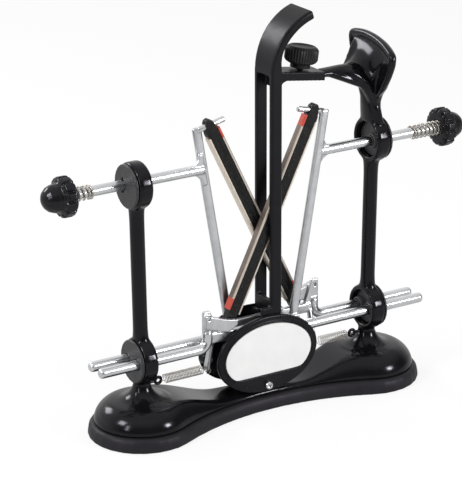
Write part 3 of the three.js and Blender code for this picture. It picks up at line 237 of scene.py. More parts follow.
# Rods and hanging pins: a thin skin over those of the CAD, with domed tips
ROD_R = 2.8 * MM
ROD_SKIN = 0.12 * MM
ROD_TIP = 2.3 * MM
ROD_SIDES = 40
LOWER_ROD_Y = 5.5 * MM
LOWER_ROD_END = 107.9 * MM
BAR_FOOT_X = 19 * MM
BAR_X_AT_ROD = 34.9 * MM
KNOB_FACE = 117.3 * MM
ROD_IN_KNOB = 4 * MM
STUB_X = 39 * MM
STUB_TOP_Z = 54.5 * MM
ELBOW_R = 5.6 * MM
ELBOW_STEPS = 12
PIN_R = 1.7 * MM
PIN_TIP = 0.5 * MM
PIN_Y = 3.2 * MM
PIN_ENDS = ((39 * MM, 167.96 * MM), (21.97 * MM, 171.99 * MM))
# A domed tip: shares of its length and of the radius
DOMED_TIP = (
    (0.0, 0.3), (0.04, 0.46), (0.13, 0.66), (0.28, 0.83), (0.48, 0.94), (0.73, 0.985), (1.0, 1.0),
)

# Carriers and strips
CARRIER_TILT = math.radians(26)
RED_BAND = 7 * MM
# How far in from each long edge of a strip the painted highlight begins, and where it is full
STRIP_HIGHLIGHT_EDGE = (0.6 * MM, 0.3 * MM)

# Springs: the return springs' hooks go through an eye on the post and a tab on the frame
COIL_STEPS = 24
WIRE_SIDES = 8
RETURN_WIRE = 0.42 * MM
RETURN_RADIUS = 2.5 * MM
RETURN_TURNS = {"left": 26, "right": 14}
EYE_HOOK_REACH = 1.9 * MM
EYE_HOOK_ARC = (245, 90)
EYE_TO_COIL = 0.7 * MM
COIL_TO_TAB = 2.2 * MM
TAB_BEND = 0.9 * MM
TAB_BEND_SHARE = 0.45
TAB_REACH = 0.2 * MM
TAB_HOOK_X = 2.0 * MM
TAB_HOOK_HALF = (1.6 * MM, 1.75 * MM)
TAB_HOOK_ARC = (-90, 130)
RETURN_HOOK_STEPS = 14
BUMPER_WIRE = 0.95 * MM
BUMPER_TURNS = {"left": 4, "right": 6}
BUMPER_LEAD = 1.1 * BUMPER_WIRE

# Thumb screw: its head is larger than the one in the CAD
THUMB_TEETH = 36
THUMB_TOOTH = 0.45 * MM
THUMB_TOOTH_SIDES = 4
THUMB_R = 9.4 * MM
THUMB_H = 9.4 * MM
THUMB_LIFT = 1.8 * MM
THUMB_EDGE = 2.0 * MM
THUMB_BEND = 0.4 * THUMB_EDGE
THUMB_BEND_TOOTH = 0.6 * THUMB_TOOTH
THUMB_DISH_RIM = 1.5 * THUMB_EDGE
THUMB_DISH_WALL = 1.8 * THUMB_EDGE
THUMB_DISH_DEPTH = 0.5 * MM
THUMB_COLLAR_R = 5.6 * MM
THUMB_COLLAR_H = 2.6 * MM
THUMB_SHANK_R = 1.5 * MM


def make_camera():
    """A camera at the photograph's angle, turned slightly so that the aim point falls on its pixel."""
    azimuth, elevation = CAMERA_AZIMUTH, CAMERA_ELEVATION
    back = Vector((
        math.sin(azimuth) * math.cos(elevation),
        -math.cos(azimuth) * math.cos(elevation),
        math.sin(elevation),
    ))
    right = Vector((math.cos(azimuth), math.sin(azimuth), 0.0))
    up = back.cross(right)
    yaw = math.atan((AIM_PIXEL[0] - PHOTO_WIDTH / 2) / FOCAL_PIXELS)
    pitch = math.atan((AIM_PIXEL[1] - PHOTO_HEIGHT / 2) / FOCAL_PIXELS)
    turn = Matrix((right, up, back)).transposed()
    turn = turn @ Matrix.Rotation(yaw, 3, "Y") @ Matrix.Rotation(pitch, 3, "X")
    data = bpy.data.cameras.new("camera")
    data.sensor_width = SENSOR
    data.lens = FOCAL_PIXELS * SENSOR / max(PHOTO_WIDTH, PHOTO_HEIGHT)
    camera = bpy.data.objects.new("camera", data)
    camera.matrix_world = turn.to_4x4()
    camera.location = AIM_POINT + back * CAMERA_DISTANCE
    bpy.context.scene.collection.objects.link(camera)
    bpy.context.scene.camera = camera


# Node helpers


def put(tree, kind, inputs=None, **settings):
    """A new shader node with its settings and input values."""
    made = tree.nodes.new(kind)
    for key, value in settings.items():
        setattr(made, key, value)
    for key, value in (inputs or {}).items():
        made.inputs[key].default_value = value
    return made


def feed(tree, socket, value):
    """Gives an input a number, a colour or the output of another node."""
    if isinstance(value, bpy.types.NodeSocket):
        tree.links.new(value, socket)
    elif isinstance(value, tuple):
        socket.default_value = (*value, 1.0)
    else:
        socket.default_value = value


def place(tree):
    """The coordinates of a point in the object's own frame, in metres."""
    found = tree.nodes.get("place")
    if found is None:
        found = put(tree, "ShaderNodeTexCoord")
        found.name = "place"
    return found.outputs["Object"]


def noise(tree, scale, detail=3.0, stretch=None):
    """A noise value from 0 to 1; stretch scales the three axes before the noise."""
    made = put(tree, "ShaderNodeTexNoise", {
        "Scale": scale, "Detail": detail, "Roughness": NOISE_ROUGHNESS,
    })
    source = place(tree)
    if stretch:
        squeeze = put(tree, "ShaderNodeMapping", {"Scale": stretch})
        tree.links.new(source, squeeze.inputs["Vector"])
        source = squeeze.outputs["Vector"]
    tree.links.new(source, made.inputs["Vector"])
    return made.outputs["Fac"]


def remap(tree, value, low, high, start=0.3, end=0.7):
    """A value moved from the span start..end to the span low..high."""
    made = put(tree, "ShaderNodeMapRange", {
        "From Min": start, "From Max": end, "To Min": low, "To Max": high,
    })
    tree.links.new(value, made.inputs["Value"])
    return made.outputs["Result"]


def maths(tree, operation, *values):
    """The result of one sum on numbers or sockets."""
    made = put(tree, "ShaderNodeMath", operation=operation)
    for socket, value in zip(made.inputs, values):
        feed(tree, socket, value)
    return made.outputs["Value"]


def mix(tree, kind, share, first, second):
    """A colour or a value between two; each of them is given plainly or as a socket."""
    made = put(tree, "ShaderNodeMix", data_type=kind)
    first_at, second_at, out_at = MIX_SOCKETS[kind]
    tree.links.new(share, made.inputs["Factor"])
    feed(tree, made.inputs[first_at], first)
    feed(tree, made.inputs[second_at], second)
    return made.outputs[out_at]


def worn_edges(tree):
    """A value that rises on raised edges."""
    shape = put(tree, "ShaderNodeNewGeometry")
    return remap(tree, shape.outputs["Pointiness"], 0.0, 1.0, *WORN_SPAN)


def bump(tree, shader, height, distance):
    """Lets a value stand out from the surface by a distance."""
    made = put(tree, "ShaderNodeBump", {"Distance": distance, "Strength": 1.0})
    tree.links.new(height, made.inputs["Height"])
    tree.links.new(made.outputs["Normal"], shader.inputs["Normal"])


def shader_of(made):
    """The main shader of a finish."""
    return made.node_tree.nodes["Principled BSDF"]


def surface(name, dark, light, patch, rough, grain, lift, worn=None, streaks=None, **sockets):
    """A finish: two close colours in patches, uneven gloss, a fine grain and lighter worn edges."""
    made = bpy.data.materials.new(name)
    made.use_nodes = True
    tree = made.node_tree
    shader = shader_of(made)
    colour = mix(tree, "RGBA", remap(tree, noise(tree, patch), 0.0, 1.0), dark, light)
    if worn:
        colour = mix(tree, "RGBA", worn_edges(tree), colour, worn)
    tree.links.new(colour, shader.inputs["Base Color"])
    uneven = noise(tree, *streaks) if streaks else noise(tree, patch * GLOSS_PATCH_SHARE, 4.0)
    tree.links.new(remap(tree, uneven, *rough), shader.inputs["Roughness"])
    bump(tree, shader, noise(tree, grain, 2.0), lift)
    for key, value in sockets.items():
        shader.inputs[key.replace("_", " ")].default_value = value
    return made


def lay_over(made, share, colour):
    """Lays a colour over the one that a finish has so far, where the share is above 0."""
    base = shader_of(made).inputs["Base Color"]
    under = base.links[0].from_socket
    made.node_tree.links.new(mix(made.node_tree, "RGBA", share, under, colour), base)


# Finishes


def black_paint():
    """The gloss coat of the base and the posts."""
    return surface(
        "black_paint", (0.0032, 0.0032, 0.0038), (0.0048, 0.0048, 0.0056), patch=70,
        rough=(0.13, 0.18), grain=420, lift=0.002 * MM, worn=(0.009, 0.009, 0.01),
        Specular_IOR_Level=GLOSS_BLACK_SPECULAR, Specular_Tint=COOL_TINT,
    )


def boot_rubber():
    """The matt rubber round the foot."""
    return surface(
        "boot_rubber", (0.0105, 0.0098, 0.0118), (0.015, 0.0142, 0.0166), patch=90,
        rough=(0.42, 0.54), grain=1500, lift=0.03 * MM, worn=(0.02, 0.019, 0.022),
        Specular_IOR_Level=SATIN_BLACK_SPECULAR, Specular_Tint=COOL_TINT,
    )


def bush_plastic():
    """The dull plastic of the bushes and their collars."""
    return surface(
        "bush_plastic", (0.015, 0.015, 0.0165), (0.021, 0.021, 0.023), patch=120,
        rough=(0.38, 0.48), grain=1800, lift=0.02 * MM, worn=(0.055, 0.055, 0.06),
    )


def guide_plastic():
    """The satin plastic of the guide."""
    return surface(
        "guide_plastic", (0.004, 0.004, 0.0044), (0.006, 0.006, 0.0066), patch=60,
        rough=(0.3, 0.38), grain=1300, lift=0.01 * MM, worn=(0.012, 0.012, 0.013),
        Specular_IOR_Level=SATIN_BLACK_SPECULAR, Specular_Tint=COOL_TINT,
    )


def housing_plastic():
    """The satin plastic of the middle housing and the badge's rim."""
    return surface(
        "housing_plastic", (0.0035, 0.0035, 0.004), (0.0055, 0.0055, 0.006), patch=110,
        rough=(0.25, 0.33), grain=1600, lift=0.003 * MM,
        Specular_IOR_Level=SATIN_BLACK_SPECULAR, Specular_Tint=COOL_TINT,
    )


def thumb_plastic():
    """The matt plastic of the thumb screw."""
    return surface(
        "thumb_plastic", (0.006, 0.006, 0.0065), (0.01, 0.01, 0.0106), patch=200,
        rough=(0.4, 0.52), grain=2200, lift=0.03 * MM, worn=(0.04, 0.04, 0.042),
        Specular_IOR_Level=SATIN_BLACK_SPECULAR,
    )


def knob_plastic():
    """The gloss plastic of the knobs."""
    return surface(
        "knob_plastic", (0.005, 0.005, 0.0056), (0.0085, 0.0085, 0.0092), patch=120,
        rough=(0.13, 0.18), grain=900, lift=0.002 * MM, worn=(0.012, 0.012, 0.013),
        Specular_IOR_Level=GLOSS_BLACK_SPECULAR, Specular_Tint=COOL_TINT,
    )


def cast_metal():
    """The satin cast skin of the frames' bars and brackets."""
    return surface(
        "cast_metal", (0.59, 0.6, 0.62), (0.7, 0.71, 0.73), patch=190,
        rough=(0.28, 0.4), grain=700, lift=0.005 * MM, Metallic=1.0,
    )


def rod_chrome():
    """Polished rods with faint lines along them."""
    return surface(
        "rod_chrome", (0.68, 0.69, 0.705), (0.76, 0.77, 0.78), patch=90,
        rough=(0.2, 0.3), grain=900, lift=0.004 * MM, streaks=ROD_LINES, Metallic=1.0,
    )


def carrier_black():
    """The carriers' black with pale specks."""
    made = surface(
        "carrier_black", (0.0042, 0.0041, 0.0044), (0.0078, 0.0076, 0.008), patch=180,
        rough=(0.32, 0.46), grain=1500, lift=0.03 * MM, worn=(0.05, 0.046, 0.042),
        Specular_IOR_Level=SATIN_BLACK_SPECULAR,
    )
    tree = made.node_tree
    speck = remap(tree, noise(tree, SPECK_GRAIN, 1.0), 0.0, 1.0, *SPECK_SPAN)
    lay_over(made, speck, (0.11, 0.095, 0.082))
    return made


def diamond_grit(word, side):
    """Taupe grit with a painted highlight along its two long edges and a red band at each end; the bands
    lie square to the leaning strip.
    """
    made = surface(
        f"diamond_grit_{word}", (0.11, 0.085, 0.072), (0.2, 0.158, 0.135), patch=1900,
        rough=(0.4, 0.55), grain=3200, lift=0.02 * MM,
    )
    tree = made.node_tree
    low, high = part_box(f"{word}_diamond_strip")
    middle = (low + high) / 2
    half = (high.y - low.y) / 2
    spread = put(tree, "ShaderNodeSeparateXYZ")
    tree.links.new(place(tree), spread.inputs["Vector"])
    off_line = maths(tree, "ABSOLUTE", maths(tree, "SUBTRACT", spread.outputs["Y"], middle.y))
    # Painted highlight: a paler colour near the strip's two long edges, where light would catch them
    rim = remap(tree, off_line, 0.0, 1.0, half - STRIP_HIGHLIGHT_EDGE[0], half - STRIP_HIGHLIGHT_EDGE[1])
    lay_over(made, rim, (0.5, 0.44, 0.38))
    lean = Vector((side * math.sin(CARRIER_TILT), 0.0, math.cos(CARRIER_TILT)))
    length = (high.z - low.z) / math.cos(CARRIER_TILT)
    run = put(tree, "ShaderNodeVectorMath", operation="DOT_PRODUCT")
    tree.links.new(place(tree), run.inputs[0])
    run.inputs[1].default_value = lean
    from_middle = maths(tree, "ABSOLUTE", maths(tree, "SUBTRACT", run.outputs["Value"], middle.dot(lean)))
    band = maths(tree, "GREATER_THAN", from_middle, length / 2 - RED_BAND)
    red = mix(tree, "RGBA", noise(tree, RED_GRAIN), (0.38, 0.032, 0.018), (0.52, 0.06, 0.032))
    lay_over(made, band, red)
    bare = maths(tree, "SUBTRACT", 1.0, band)
    tree.links.new(maths(tree, "MULTIPLY", bare, GRIT_METALLIC), shader_of(made).inputs["Metallic"])
    return made


def finishing_steel():
    """The warm, fine-ground finishing strips."""
    return surface(
        "finishing_steel", (0.74, 0.65, 0.55), (0.85, 0.77, 0.67), patch=260,
        rough=(0.26, 0.36), grain=1800, lift=0.004 * MM, Metallic=0.85,
    )


def spring_wire():
    """The dull steel of the springs."""
    return surface(
        "spring_wire", (0.46, 0.43, 0.39), (0.62, 0.59, 0.54), patch=700,
        rough=(0.3, 0.4), grain=2600, lift=0.004 * MM, Metallic=1.0,
    )


def screw_steel():
    """The bright steel of screws and bolts."""
    return surface(
        "screw_steel", (0.66, 0.66, 0.68), (0.78, 0.78, 0.8), patch=500,
        rough=(0.16, 0.26), grain=2400, lift=0.012 * MM, Metallic=1.0,
    )


def plate_white():
    """The pale face of the bare plate."""
    return surface(
        "plate_white", (0.64, 0.637, 0.637), (0.68, 0.677, 0.677), patch=90,
        rough=(0.3, 0.4), grain=1400, lift=0.008 * MM,
    )


# Mesh helpers


def coat(piece, material):
    """Gives a piece its one finish."""
    piece.data.materials.clear()
    piece.data.materials.append(material)


def show(name, mesh, body, slot, material, *stands_for):
    """Links a finished mesh as a piece that rides on a body and stands for CAD nodes."""
    piece = bpy.data.objects.new(name, mesh)
    bpy.context.scene.collection.objects.link(piece)
    coat(piece, material)
    if body:
        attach(piece, body)
    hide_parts(*stands_for)
    return piece


def soften(piece, voxel, rounds):
    """Rounds the edges of a faceted piece: a fine even skin, relaxed a few times."""
    skin = piece.modifiers.new("skin", "REMESH")
    skin.mode = "VOXEL"
    skin.voxel_size = voxel
    skin.use_smooth_shade = True
    relax = piece.modifiers.new("relax", "SMOOTH")
    relax.factor = SMOOTH_FACTOR
    relax.iterations = rounds


def bevel(piece, width):
    """Rounds the sharp edges of a crisp piece and leaves its outline as it is."""
    piece.data.shade_smooth()
    edge = piece.modifiers.new("edge", "BEVEL")
    edge.width = width
    edge.segments = EDGE_SEGMENTS
    edge.limit_method = "ANGLE"
    edge.angle_limit = EDGE_ANGLE
    edge.harden_normals = True


def turned(name, profile, foot, axis, count, teeth=0, ring=False):
    """A mesh turned about an axis, from (radius, height, tooth depth) stations.

    A ring's last station joins its first; any other mesh is closed at both ends.
    """
    across = axis.orthogonal().normalized()
    side = axis.cross(across)
    corners, faces = [], []
    for radius, height, depth in profile:
        for i in range(count):
            angle = 2 * math.pi * i / count
            reach = radius - depth * (0.5 - 0.5 * math.cos(teeth * angle))
            way = across * math.cos(angle) + side * math.sin(angle)
            corners.append(foot + axis * height + way * reach)
    total = len(corners)
    for start in range(0, total if ring else total - count, count):
        for i in range(count):
            a, b = start + i, start + (i + 1) % count
            faces.append((a, b, (b + count) % total, (a + count) % total))
    if not ring:
        faces.append(tuple(reversed(range(count))))
        faces.append(tuple(range(total - count, total)))
    mesh = bpy.data.meshes.new(name)
    mesh.from_pydata(corners, [], faces)
    mesh.shade_smooth()
    mesh.set_sharp_from_angle(angle=TURNED_ANGLE)
    return mesh


def domed(end, inner, length):
    """Stations that dome the end of a wire over a length, as (point, share of the radius)."""
    way = (inner - end).normalized()
    return [(end + way * length * reach, share) for reach, share in DOMED_TIP]


def tube(name, runs, wire, sides=WIRE_SIDES, tip=0.0):
    """Round wires of that diameter along lists of points, as one mesh; a tip's length domes the ends."""
    curve = bpy.data.curves.new(name, "CURVE")
    curve.dimensions = "3D"
    curve.bevel_depth = wire / 2
    curve.bevel_resolution = sides // 2 - 1
    curve.use_fill_caps = True
    for points in runs:
        stations = [(spot, 1.0) for spot in points]
        if tip:
            stations = domed(points[0], points[1], tip) + stations[1:-1]
            stations += domed(points[-1], points[-2], tip)[::-1]
        spline = curve.splines.new("POLY")
        spline.points.add(len(stations) - 1)
        for point, (spot, share) in zip(spline.points, stations):
            point.co = (*spot, 1.0)
            point.radius = share
    holder = bpy.data.objects.new(name, curve)
    mesh = bpy.data.meshes.new_from_object(holder)
    bpy.data.objects.remove(holder)
    mesh.shade_smooth()
    return mesh


def helix(start, end, centre, radius, turns):
    """Points of a coil along X from start to end, round the centre given as (y, z)."""
    steps = turns * COIL_STEPS
    points = []
    for i in range(steps + 1):
        angle = 2 * math.pi * i / COIL_STEPS
        points.append(Vector((
            start + (end - start) * i / steps,
            centre[0] + radius * math.cos(angle),
            centre[1] + radius * math.sin(angle),
        )))
    return points


def arc(centre, first, second, start, end, steps):
    """Points from angle start to end, in degrees, on the arc that two vectors span."""
    points = []
    for i in range(steps + 1):
        angle = math.radians(start + (end - start) * i / steps)
        points.append(centre + first * math.cos(angle) + second * math.sin(angle))
    return points


def on_curve(places, share):
    """The place at a share of the way along a line of places, on a smooth curve through them."""
    reach = share * (len(places) - 1)
    k = min(int(reach), len(places) - 2)
    t = reach - k
    spots = [Vector(places[min(max(i, 0), len(places) - 1)]) for i in range(k - 1, k + 3)]
    before, start, end, after = spots
    return 0.5 * (
        2 * start + (end - before) * t
        + (2 * before - 5 * start + 4 * end - after) * t ** 2
        + (3 * start - before - 3 * end + after) * t ** 3
    ) * MM


def ease(share):
    """A share from 0 to 1 that starts and ends gently."""
    return share * share * (3 - 2 * share)


def loft(build, rings):
    """Adds a skin through rings of points to a mesh under construction, open at both ends."""
    rows = [[build.verts.new(spot) for spot in ring] for ring in rings]
    count = len(rows[0])
    for low, high in zip(rows, rows[1:]):
        for i in range(count):
            j = (i + 1) % count
            build.faces.new((low[i], low[j], high[j], high[i]))
    return rows


def capped_loft(build, rings):
    """Adds a skin through rings of points, with one face over each end."""
    rows = loft(build, rings)
    build.faces.new(rows[0][::-1])
    build.faces.new(rows[-1])


def built(build, name):
    """The finished mesh of one under construction, with its faces turned outward."""
    bmesh.ops.recalc_face_normals(build, faces=build.faces)
    mesh = bpy.data.meshes.new(name)
    build.to_mesh(mesh)
    build.free()
    return mesh


# Pieces


def base_outline(lobe, waist, post_x):
    """Half of a base outline, from its right end round the back to its left end."""
    arc_r = (post_x ** 2 + waist ** 2 - lobe ** 2) / (2 * (lobe - waist))
    arc_y = waist + arc_r
    tangent = math.atan2(arc_y, -post_x)
    right = []
    for i in range(LOBE_STEPS + 1):
        angle = tangent * i / LOBE_STEPS
        right.append((post_x + lobe * math.cos(angle), lobe * math.sin(angle)))
    hollow = []
    for i in range(1, WAIST_STEPS):
        angle = tangent - math.pi + (math.pi - 2 * tangent) * i / WAIST_STEPS
        hollow.append((arc_r * math.cos(angle), arc_y + arc_r * math.sin(angle)))
    return right + hollow + [(-x, y) for x, y in reversed(right)]


def fine_base(build):
    """The base's dog-bone dome, with its hollow waist in fine steps."""
    low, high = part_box("base_boot")
    middle = (low.x + high.x) / 2
    lobe_r = (high.y - low.y) / 2
    post_x = (high.x - low.x) / 2 - lobe_r
    rim_r, rim_half = lobe_r - CASTING_INSET, WAIST_HALF - CASTING_INSET
    rings = []
    for k in range(BASE_LEVELS + 1):
        rise = math.sin(math.pi / 2 * k / BASE_LEVELS)
        share = 1 - (1 - rise ** DOME_POWERS[0]) ** DOME_POWERS[1]
        lobe = rim_r + (PAD_R - rim_r) * share
        half = base_outline(lobe, rim_half * (1 - (1 - WAIST_TOP_SHARE) * share), post_x)
        ring = []
        for x, y in half + [(x, -y) for x, y in reversed(half[1:-1])]:
            to_pad = min(max((abs(x) / post_x - PAD_RISE_START) / PAD_RISE_SPAN, 0.0), 1.0)
            top = WAIST_TOP_Z + (PAD_Z - WAIST_TOP_Z) * ease(to_pad)
            ring.append((middle + x, y, CASTING_FOOT_Z + (top - CASTING_FOOT_Z) * rise))
        rings.append(ring)
    rows = loft(build, rings)
    count = len(rows[0])
    for row, turn in ((rows[0], -1), (rows[-1], 1)):
        for i in range(count // 2):
            corners = (row[i], row[i + 1], row[(count - i - 1) % count], row[(count - i) % count])
            build.faces.new(list(dict.fromkeys(corners))[::turn])


def wing_scoop(build):
    """The hollow that sweeps from the arm up into the wing, fitted to the post's own skin."""
    post = nodes["right_post"].data
    skin = BVHTree.FromPolygons(
        [vertex.co for vertex in post.vertices], [tuple(face.vertices) for face in post.polygons],
    )
    top_z = cad_box[1].z
    rings = []
    for k in range(SCOOP_STEPS + 1):
        share = k / SCOOP_STEPS
        bend = on_curve(SCOOP_BEND, share)
        arm = skin.ray_cast(Vector((*on_curve(SCOOP_ARM, share), top_z)), DOWN)[0]
        wing = skin.ray_cast(Vector((bend.x - SCOOP_DEPTH, *on_curve(SCOOP_WING, share))), RIGHT)[0]
        ring = []
        for i in range(SCOOP_POINTS + 1):
            t = i / SCOOP_POINTS
            ring.append(arm * (1 - t) ** 2 + bend * 2 * t * (1 - t) + wing * t ** 2)
        ring.append(wing + RIGHT * SCOOP_DEPTH)
        ring.append(bend + (2 * RIGHT + 2 * DOWN) * SCOOP_DEPTH)
        ring.append(arm + DOWN * SCOOP_DEPTH)
        rings.append(ring)
    capped_loft(build, rings)


def bead(build, path, radii, steps, side):
    """Adds a round bead along a path to a mesh under construction; side lies square to the path."""
    rings = []
    for k in range(steps + 1):
        share = k / steps
        middle = on_curve(path, share)
        way = on_curve(path, min(share + BEAD_LOOK, 1.0)) - on_curve(path, max(share - BEAD_LOOK, 0.0))
        up = way.cross(side).normalized()
        radius = on_curve([(r, 0.0) for r in radii], share).x
        rings.append(arc(middle, side * radius, up * radius, 0, 360 - 360 / BEAD_SIDES, BEAD_SIDES - 1))
    capped_loft(build, rings)


def castings(material):
    """Base and posts under one seamless coat of paint."""
    build = bmesh.new()
    for word, _ in SIDES:
        build.from_mesh(nodes[f"{word}_post"].data)
    fine_base(build)
    wing_scoop(build)
    bead(build, RIDGE_PATH, RIDGE_R, RIDGE_STEPS, BACK)
    bead(build, WING_LIP_PATH, WING_LIP_R, WING_LIP_STEPS, RIGHT)
    piece = show(
        "painted_castings", built(build, "painted_castings"), "stand", "gloss_black_paint", material,
        "base_casting", "left_post", "right_post",
    )
    soften(piece, *SKINS["castings"])


def guide_body(material):
    """The guide with a fine outer face on its hook."""
    build = bmesh.new()
    build.from_mesh(nodes["blade_guide"].data)
    rings = []
    for k in range(HOOK_STEPS + 1):
        share = k / HOOK_STEPS
        angle = math.pi - HOOK_SWEEP * share
        half = HOOK_HALF[0] + (HOOK_HALF[1] - HOOK_HALF[0]) * ease(share)
        way = Vector((math.cos(angle), 0.0, math.sin(angle)))
        side = Vector((0.0, half, 0.0))
        outer, inner = HOOK_FOOT + way * HOOK_R, HOOK_FOOT + way * (HOOK_R - HOOK_SKIN)
        rings.append((outer + side, outer - side, inner - side, inner + side))
    capped_loft(build, rings)
    mesh = built(build, "guide_body")
    piece = show("guide_body", mesh, "stand", "guide_black", material, "blade_guide")
    soften(piece, *SKINS["guide"])


def bush_collars(word, side, material):
    """Raised rings round the rod holes, on the inner faces of a post's bushes."""
    _, upper_y, upper_z = joints[f"{word}_knob_turn"]["pos_m"]
    inward = Vector((-side, 0.0, 0.0))
    top_r = COLLAR_R - COLLAR_DRAFT
    profile = (
        (COLLAR_BORE, -COLLAR_SUNK, 0.0),
        (COLLAR_R, -COLLAR_SUNK, 0.0),
        (top_r, COLLAR_H - COLLAR_EDGE, 0.0),
        (top_r - COLLAR_EDGE, COLLAR_H, 0.0),
        (COLLAR_BORE, COLLAR_H, 0.0),
    )
    for level, rods in (("upper", (upper_y,)), ("lower", (-LOWER_ROD_Y, LOWER_ROD_Y))):
        low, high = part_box(f"{word}_{level}_bush")
        face_x = high.x if side < 0 else low.x
        z = upper_z if level == "upper" else (low.z + high.z) / 2
        for count, y in enumerate(rods):
            name = f"{word}_{level}_collar_{count}"
            mesh = turned(name, profile, Vector((face_x, y, z)), inward, COLLAR_SIDES, ring=True)
            show(name, mesh, "stand", "bush_plastic", material)


def badge_ring(half, y, grow=0.0, foot=None):
    """Points of an oval at a depth y; with a foot its lower end is cut straight, with rounded corners."""
    low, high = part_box("badge_bezel")
    middle = (low + high) / 2
    ring = []
    for i in range(BADGE_POINTS):
        angle = 2 * math.pi * i / BADGE_POINTS
        cos, sin = math.cos(angle), math.sin(angle)
        reach = 1 / math.hypot(cos / (half[0] + grow), sin / (half[1] + grow))
        if foot and sin < 0:
            past = (reach - (foot + grow) / -sin) / BADGE_CORNER
            reach -= BADGE_CORNER * math.log1p(math.exp(min(past, BADGE_CORNER_CAP)))
        ring.append((middle.x + reach * cos, y, middle.z + reach * sin))
    return ring


def badge(rim_material, plate_material):
    """The oval rim with a lip round its recess, and the bare plate in it."""
    low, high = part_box("badge_bezel")
    plate_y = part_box("badge_plate")[0].y
    outer = ((high.x - low.x) / 2, (high.z - low.z) / 2)
    inner = (outer[0] - BADGE_RIM, outer[1] - BADGE_RIM)
    face_y = low.y + BADGE_LIP_RISE
    rings = [badge_ring(outer, high.y), badge_ring(outer, face_y + BADGE_EDGE)]
    for turn in BADGE_EDGE_TURNS:
        angle = math.radians(turn)
        rings.append(badge_ring(
            outer, face_y + BADGE_EDGE * (1 - math.sin(angle)), -BADGE_EDGE * (1 - math.cos(angle)),
        ))
    for reach, drop in BADGE_LIP_SECTION:
        rings.append(badge_ring(inner, low.y + BADGE_LIP_RISE * drop, BADGE_LIP * reach, BADGE_FOOT))
    rings.append(badge_ring(inner, high.y, 0.0, BADGE_FOOT))
    build = bmesh.new()
    rows = loft(build, rings + rings[:1])
    bmesh.ops.remove_doubles(build, verts=rows[0] + rows[-1], dist=BADGE_WELD)
    rim = built(build, "badge_rim")
    rim.shade_smooth()
    show("badge_rim", rim, "stand", "housing_black", rim_material, "badge_bezel")
    section = (
        (-PLATE_GAP, high.y), (-PLATE_GAP, plate_y + PLATE_EDGE), (-PLATE_GAP - PLATE_EDGE, plate_y),
    )
    build = bmesh.new()
    capped_loft(build, [badge_ring(inner, y, grow, BADGE_FOOT) for grow, y in section])
    plate = built(build, "badge_face")
    show("badge_face", plate, "stand", "plate_white", plate_material, "badge_plate")


def socket_screw(node, material):
    """A round screw head with a socket at the front, which stands for a plain one."""
    low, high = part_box(node)
    middle = (low + high) / 2
    radius = (high.x - low.x) / 2
    length = high.y - low.y
    profile = [(radius * SCREW_SHANK, 0.0, 0.0), (radius * SCREW_SHANK, length - radius, 0.0)]
    profile += [(radius * share, length - radius * depth, 0.0) for share, depth in SCREW_HEAD]
    foot = Vector((middle.x, high.y, middle.z))
    mesh = turned(f"{node}_head", profile, foot, FRONT, SCREW_SIDES)
    show(f"{node}_head", mesh, "stand", "screw_steel", material, node)


def frame_rods(word, side, material):
    """The polished rods of a frame: upper rod, lower rod, far lower rod with its elbow, and hanging pin."""
    low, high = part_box(f"{word}_lower_bush")
    lower_z = (low.z + high.z) / 2
    _, upper_y, upper_z = joints[f"{word}_knob_turn"]["pos_m"]
    # The left frame's rods lie behind the middle; the right frame is the left one turned half round
    rod_y = -side * LOWER_ROD_Y

    def spot(x, y, z):
        return Vector((-side * x, y, z))

    upper = [spot(-KNOB_FACE - ROD_IN_KNOB, upper_y, upper_z), spot(-BAR_X_AT_ROD, upper_y, upper_z)]
    own = [spot(-LOWER_ROD_END, rod_y, lower_z), spot(-BAR_FOOT_X, rod_y, lower_z)]
    elbow = arc(
        spot(STUB_X + ELBOW_R, rod_y, lower_z + ELBOW_R),
        DOWN * ELBOW_R, Vector((side * ELBOW_R, 0.0, 0.0)), 0, 90, ELBOW_STEPS,
    )
    far = [spot(LOWER_ROD_END, rod_y, lower_z)] + elbow + [spot(STUB_X, rod_y, STUB_TOP_Z)]
    wire = 2 * (ROD_R + ROD_SKIN)
    mesh = tube(f"{word}_rods", [upper, own, far], wire, ROD_SIDES, ROD_TIP)
    show(f"{word}_rods", mesh, f"{word}_slider", "bright_frame", material)
    pin = [spot(-x, -side * PIN_Y, z) for x, z in PIN_ENDS]
    mesh = tube(f"{word}_pin", [pin], 2 * PIN_R, ROD_SIDES, PIN_TIP)
    show(f"{word}_pin", mesh, f"{word}_slider", "bright_frame", material)


def thumb_head(material):
    """The clamping screw with a fine knurl round its head."""
    joint = joints["clamp_turn"]
    axis = Vector(joint["axis"]).normalized()
    foot = Vector(joint["pos_m"])
    heights = [(vertex.co - foot).dot(axis) for vertex in nodes["thumb_screw"].data.vertices]
    tip, top = min(heights), max(heights) + THUMB_LIFT
    head = top - THUMB_H
    profile = (
        (THUMB_SHANK_R, tip, 0.0),
        (THUMB_SHANK_R, head - THUMB_COLLAR_H, 0.0),
        (THUMB_COLLAR_R, head - THUMB_COLLAR_H, 0.0),
        (THUMB_COLLAR_R, head, 0.0),
        (THUMB_R - THUMB_EDGE, head, 0.0),
        (THUMB_R - THUMB_BEND, head + THUMB_BEND, THUMB_BEND_TOOTH),
        (THUMB_R, head + THUMB_EDGE, THUMB_TOOTH),
        (THUMB_R, top - THUMB_EDGE, THUMB_TOOTH),
        (THUMB_R - THUMB_BEND, top - THUMB_BEND, THUMB_BEND_TOOTH),
        (THUMB_R - THUMB_EDGE, top, 0.0),
        (THUMB_R - THUMB_DISH_RIM, top, 0.0),
        (THUMB_R - THUMB_DISH_WALL, top - THUMB_DISH_DEPTH, 0.0),
    )
    mesh = turned("thumb_head", profile, foot, axis, THUMB_TEETH * THUMB_TOOTH_SIDES, THUMB_TEETH)
    show("thumb_head", mesh, "clamp", "thumb_black", material, "thumb_screw")


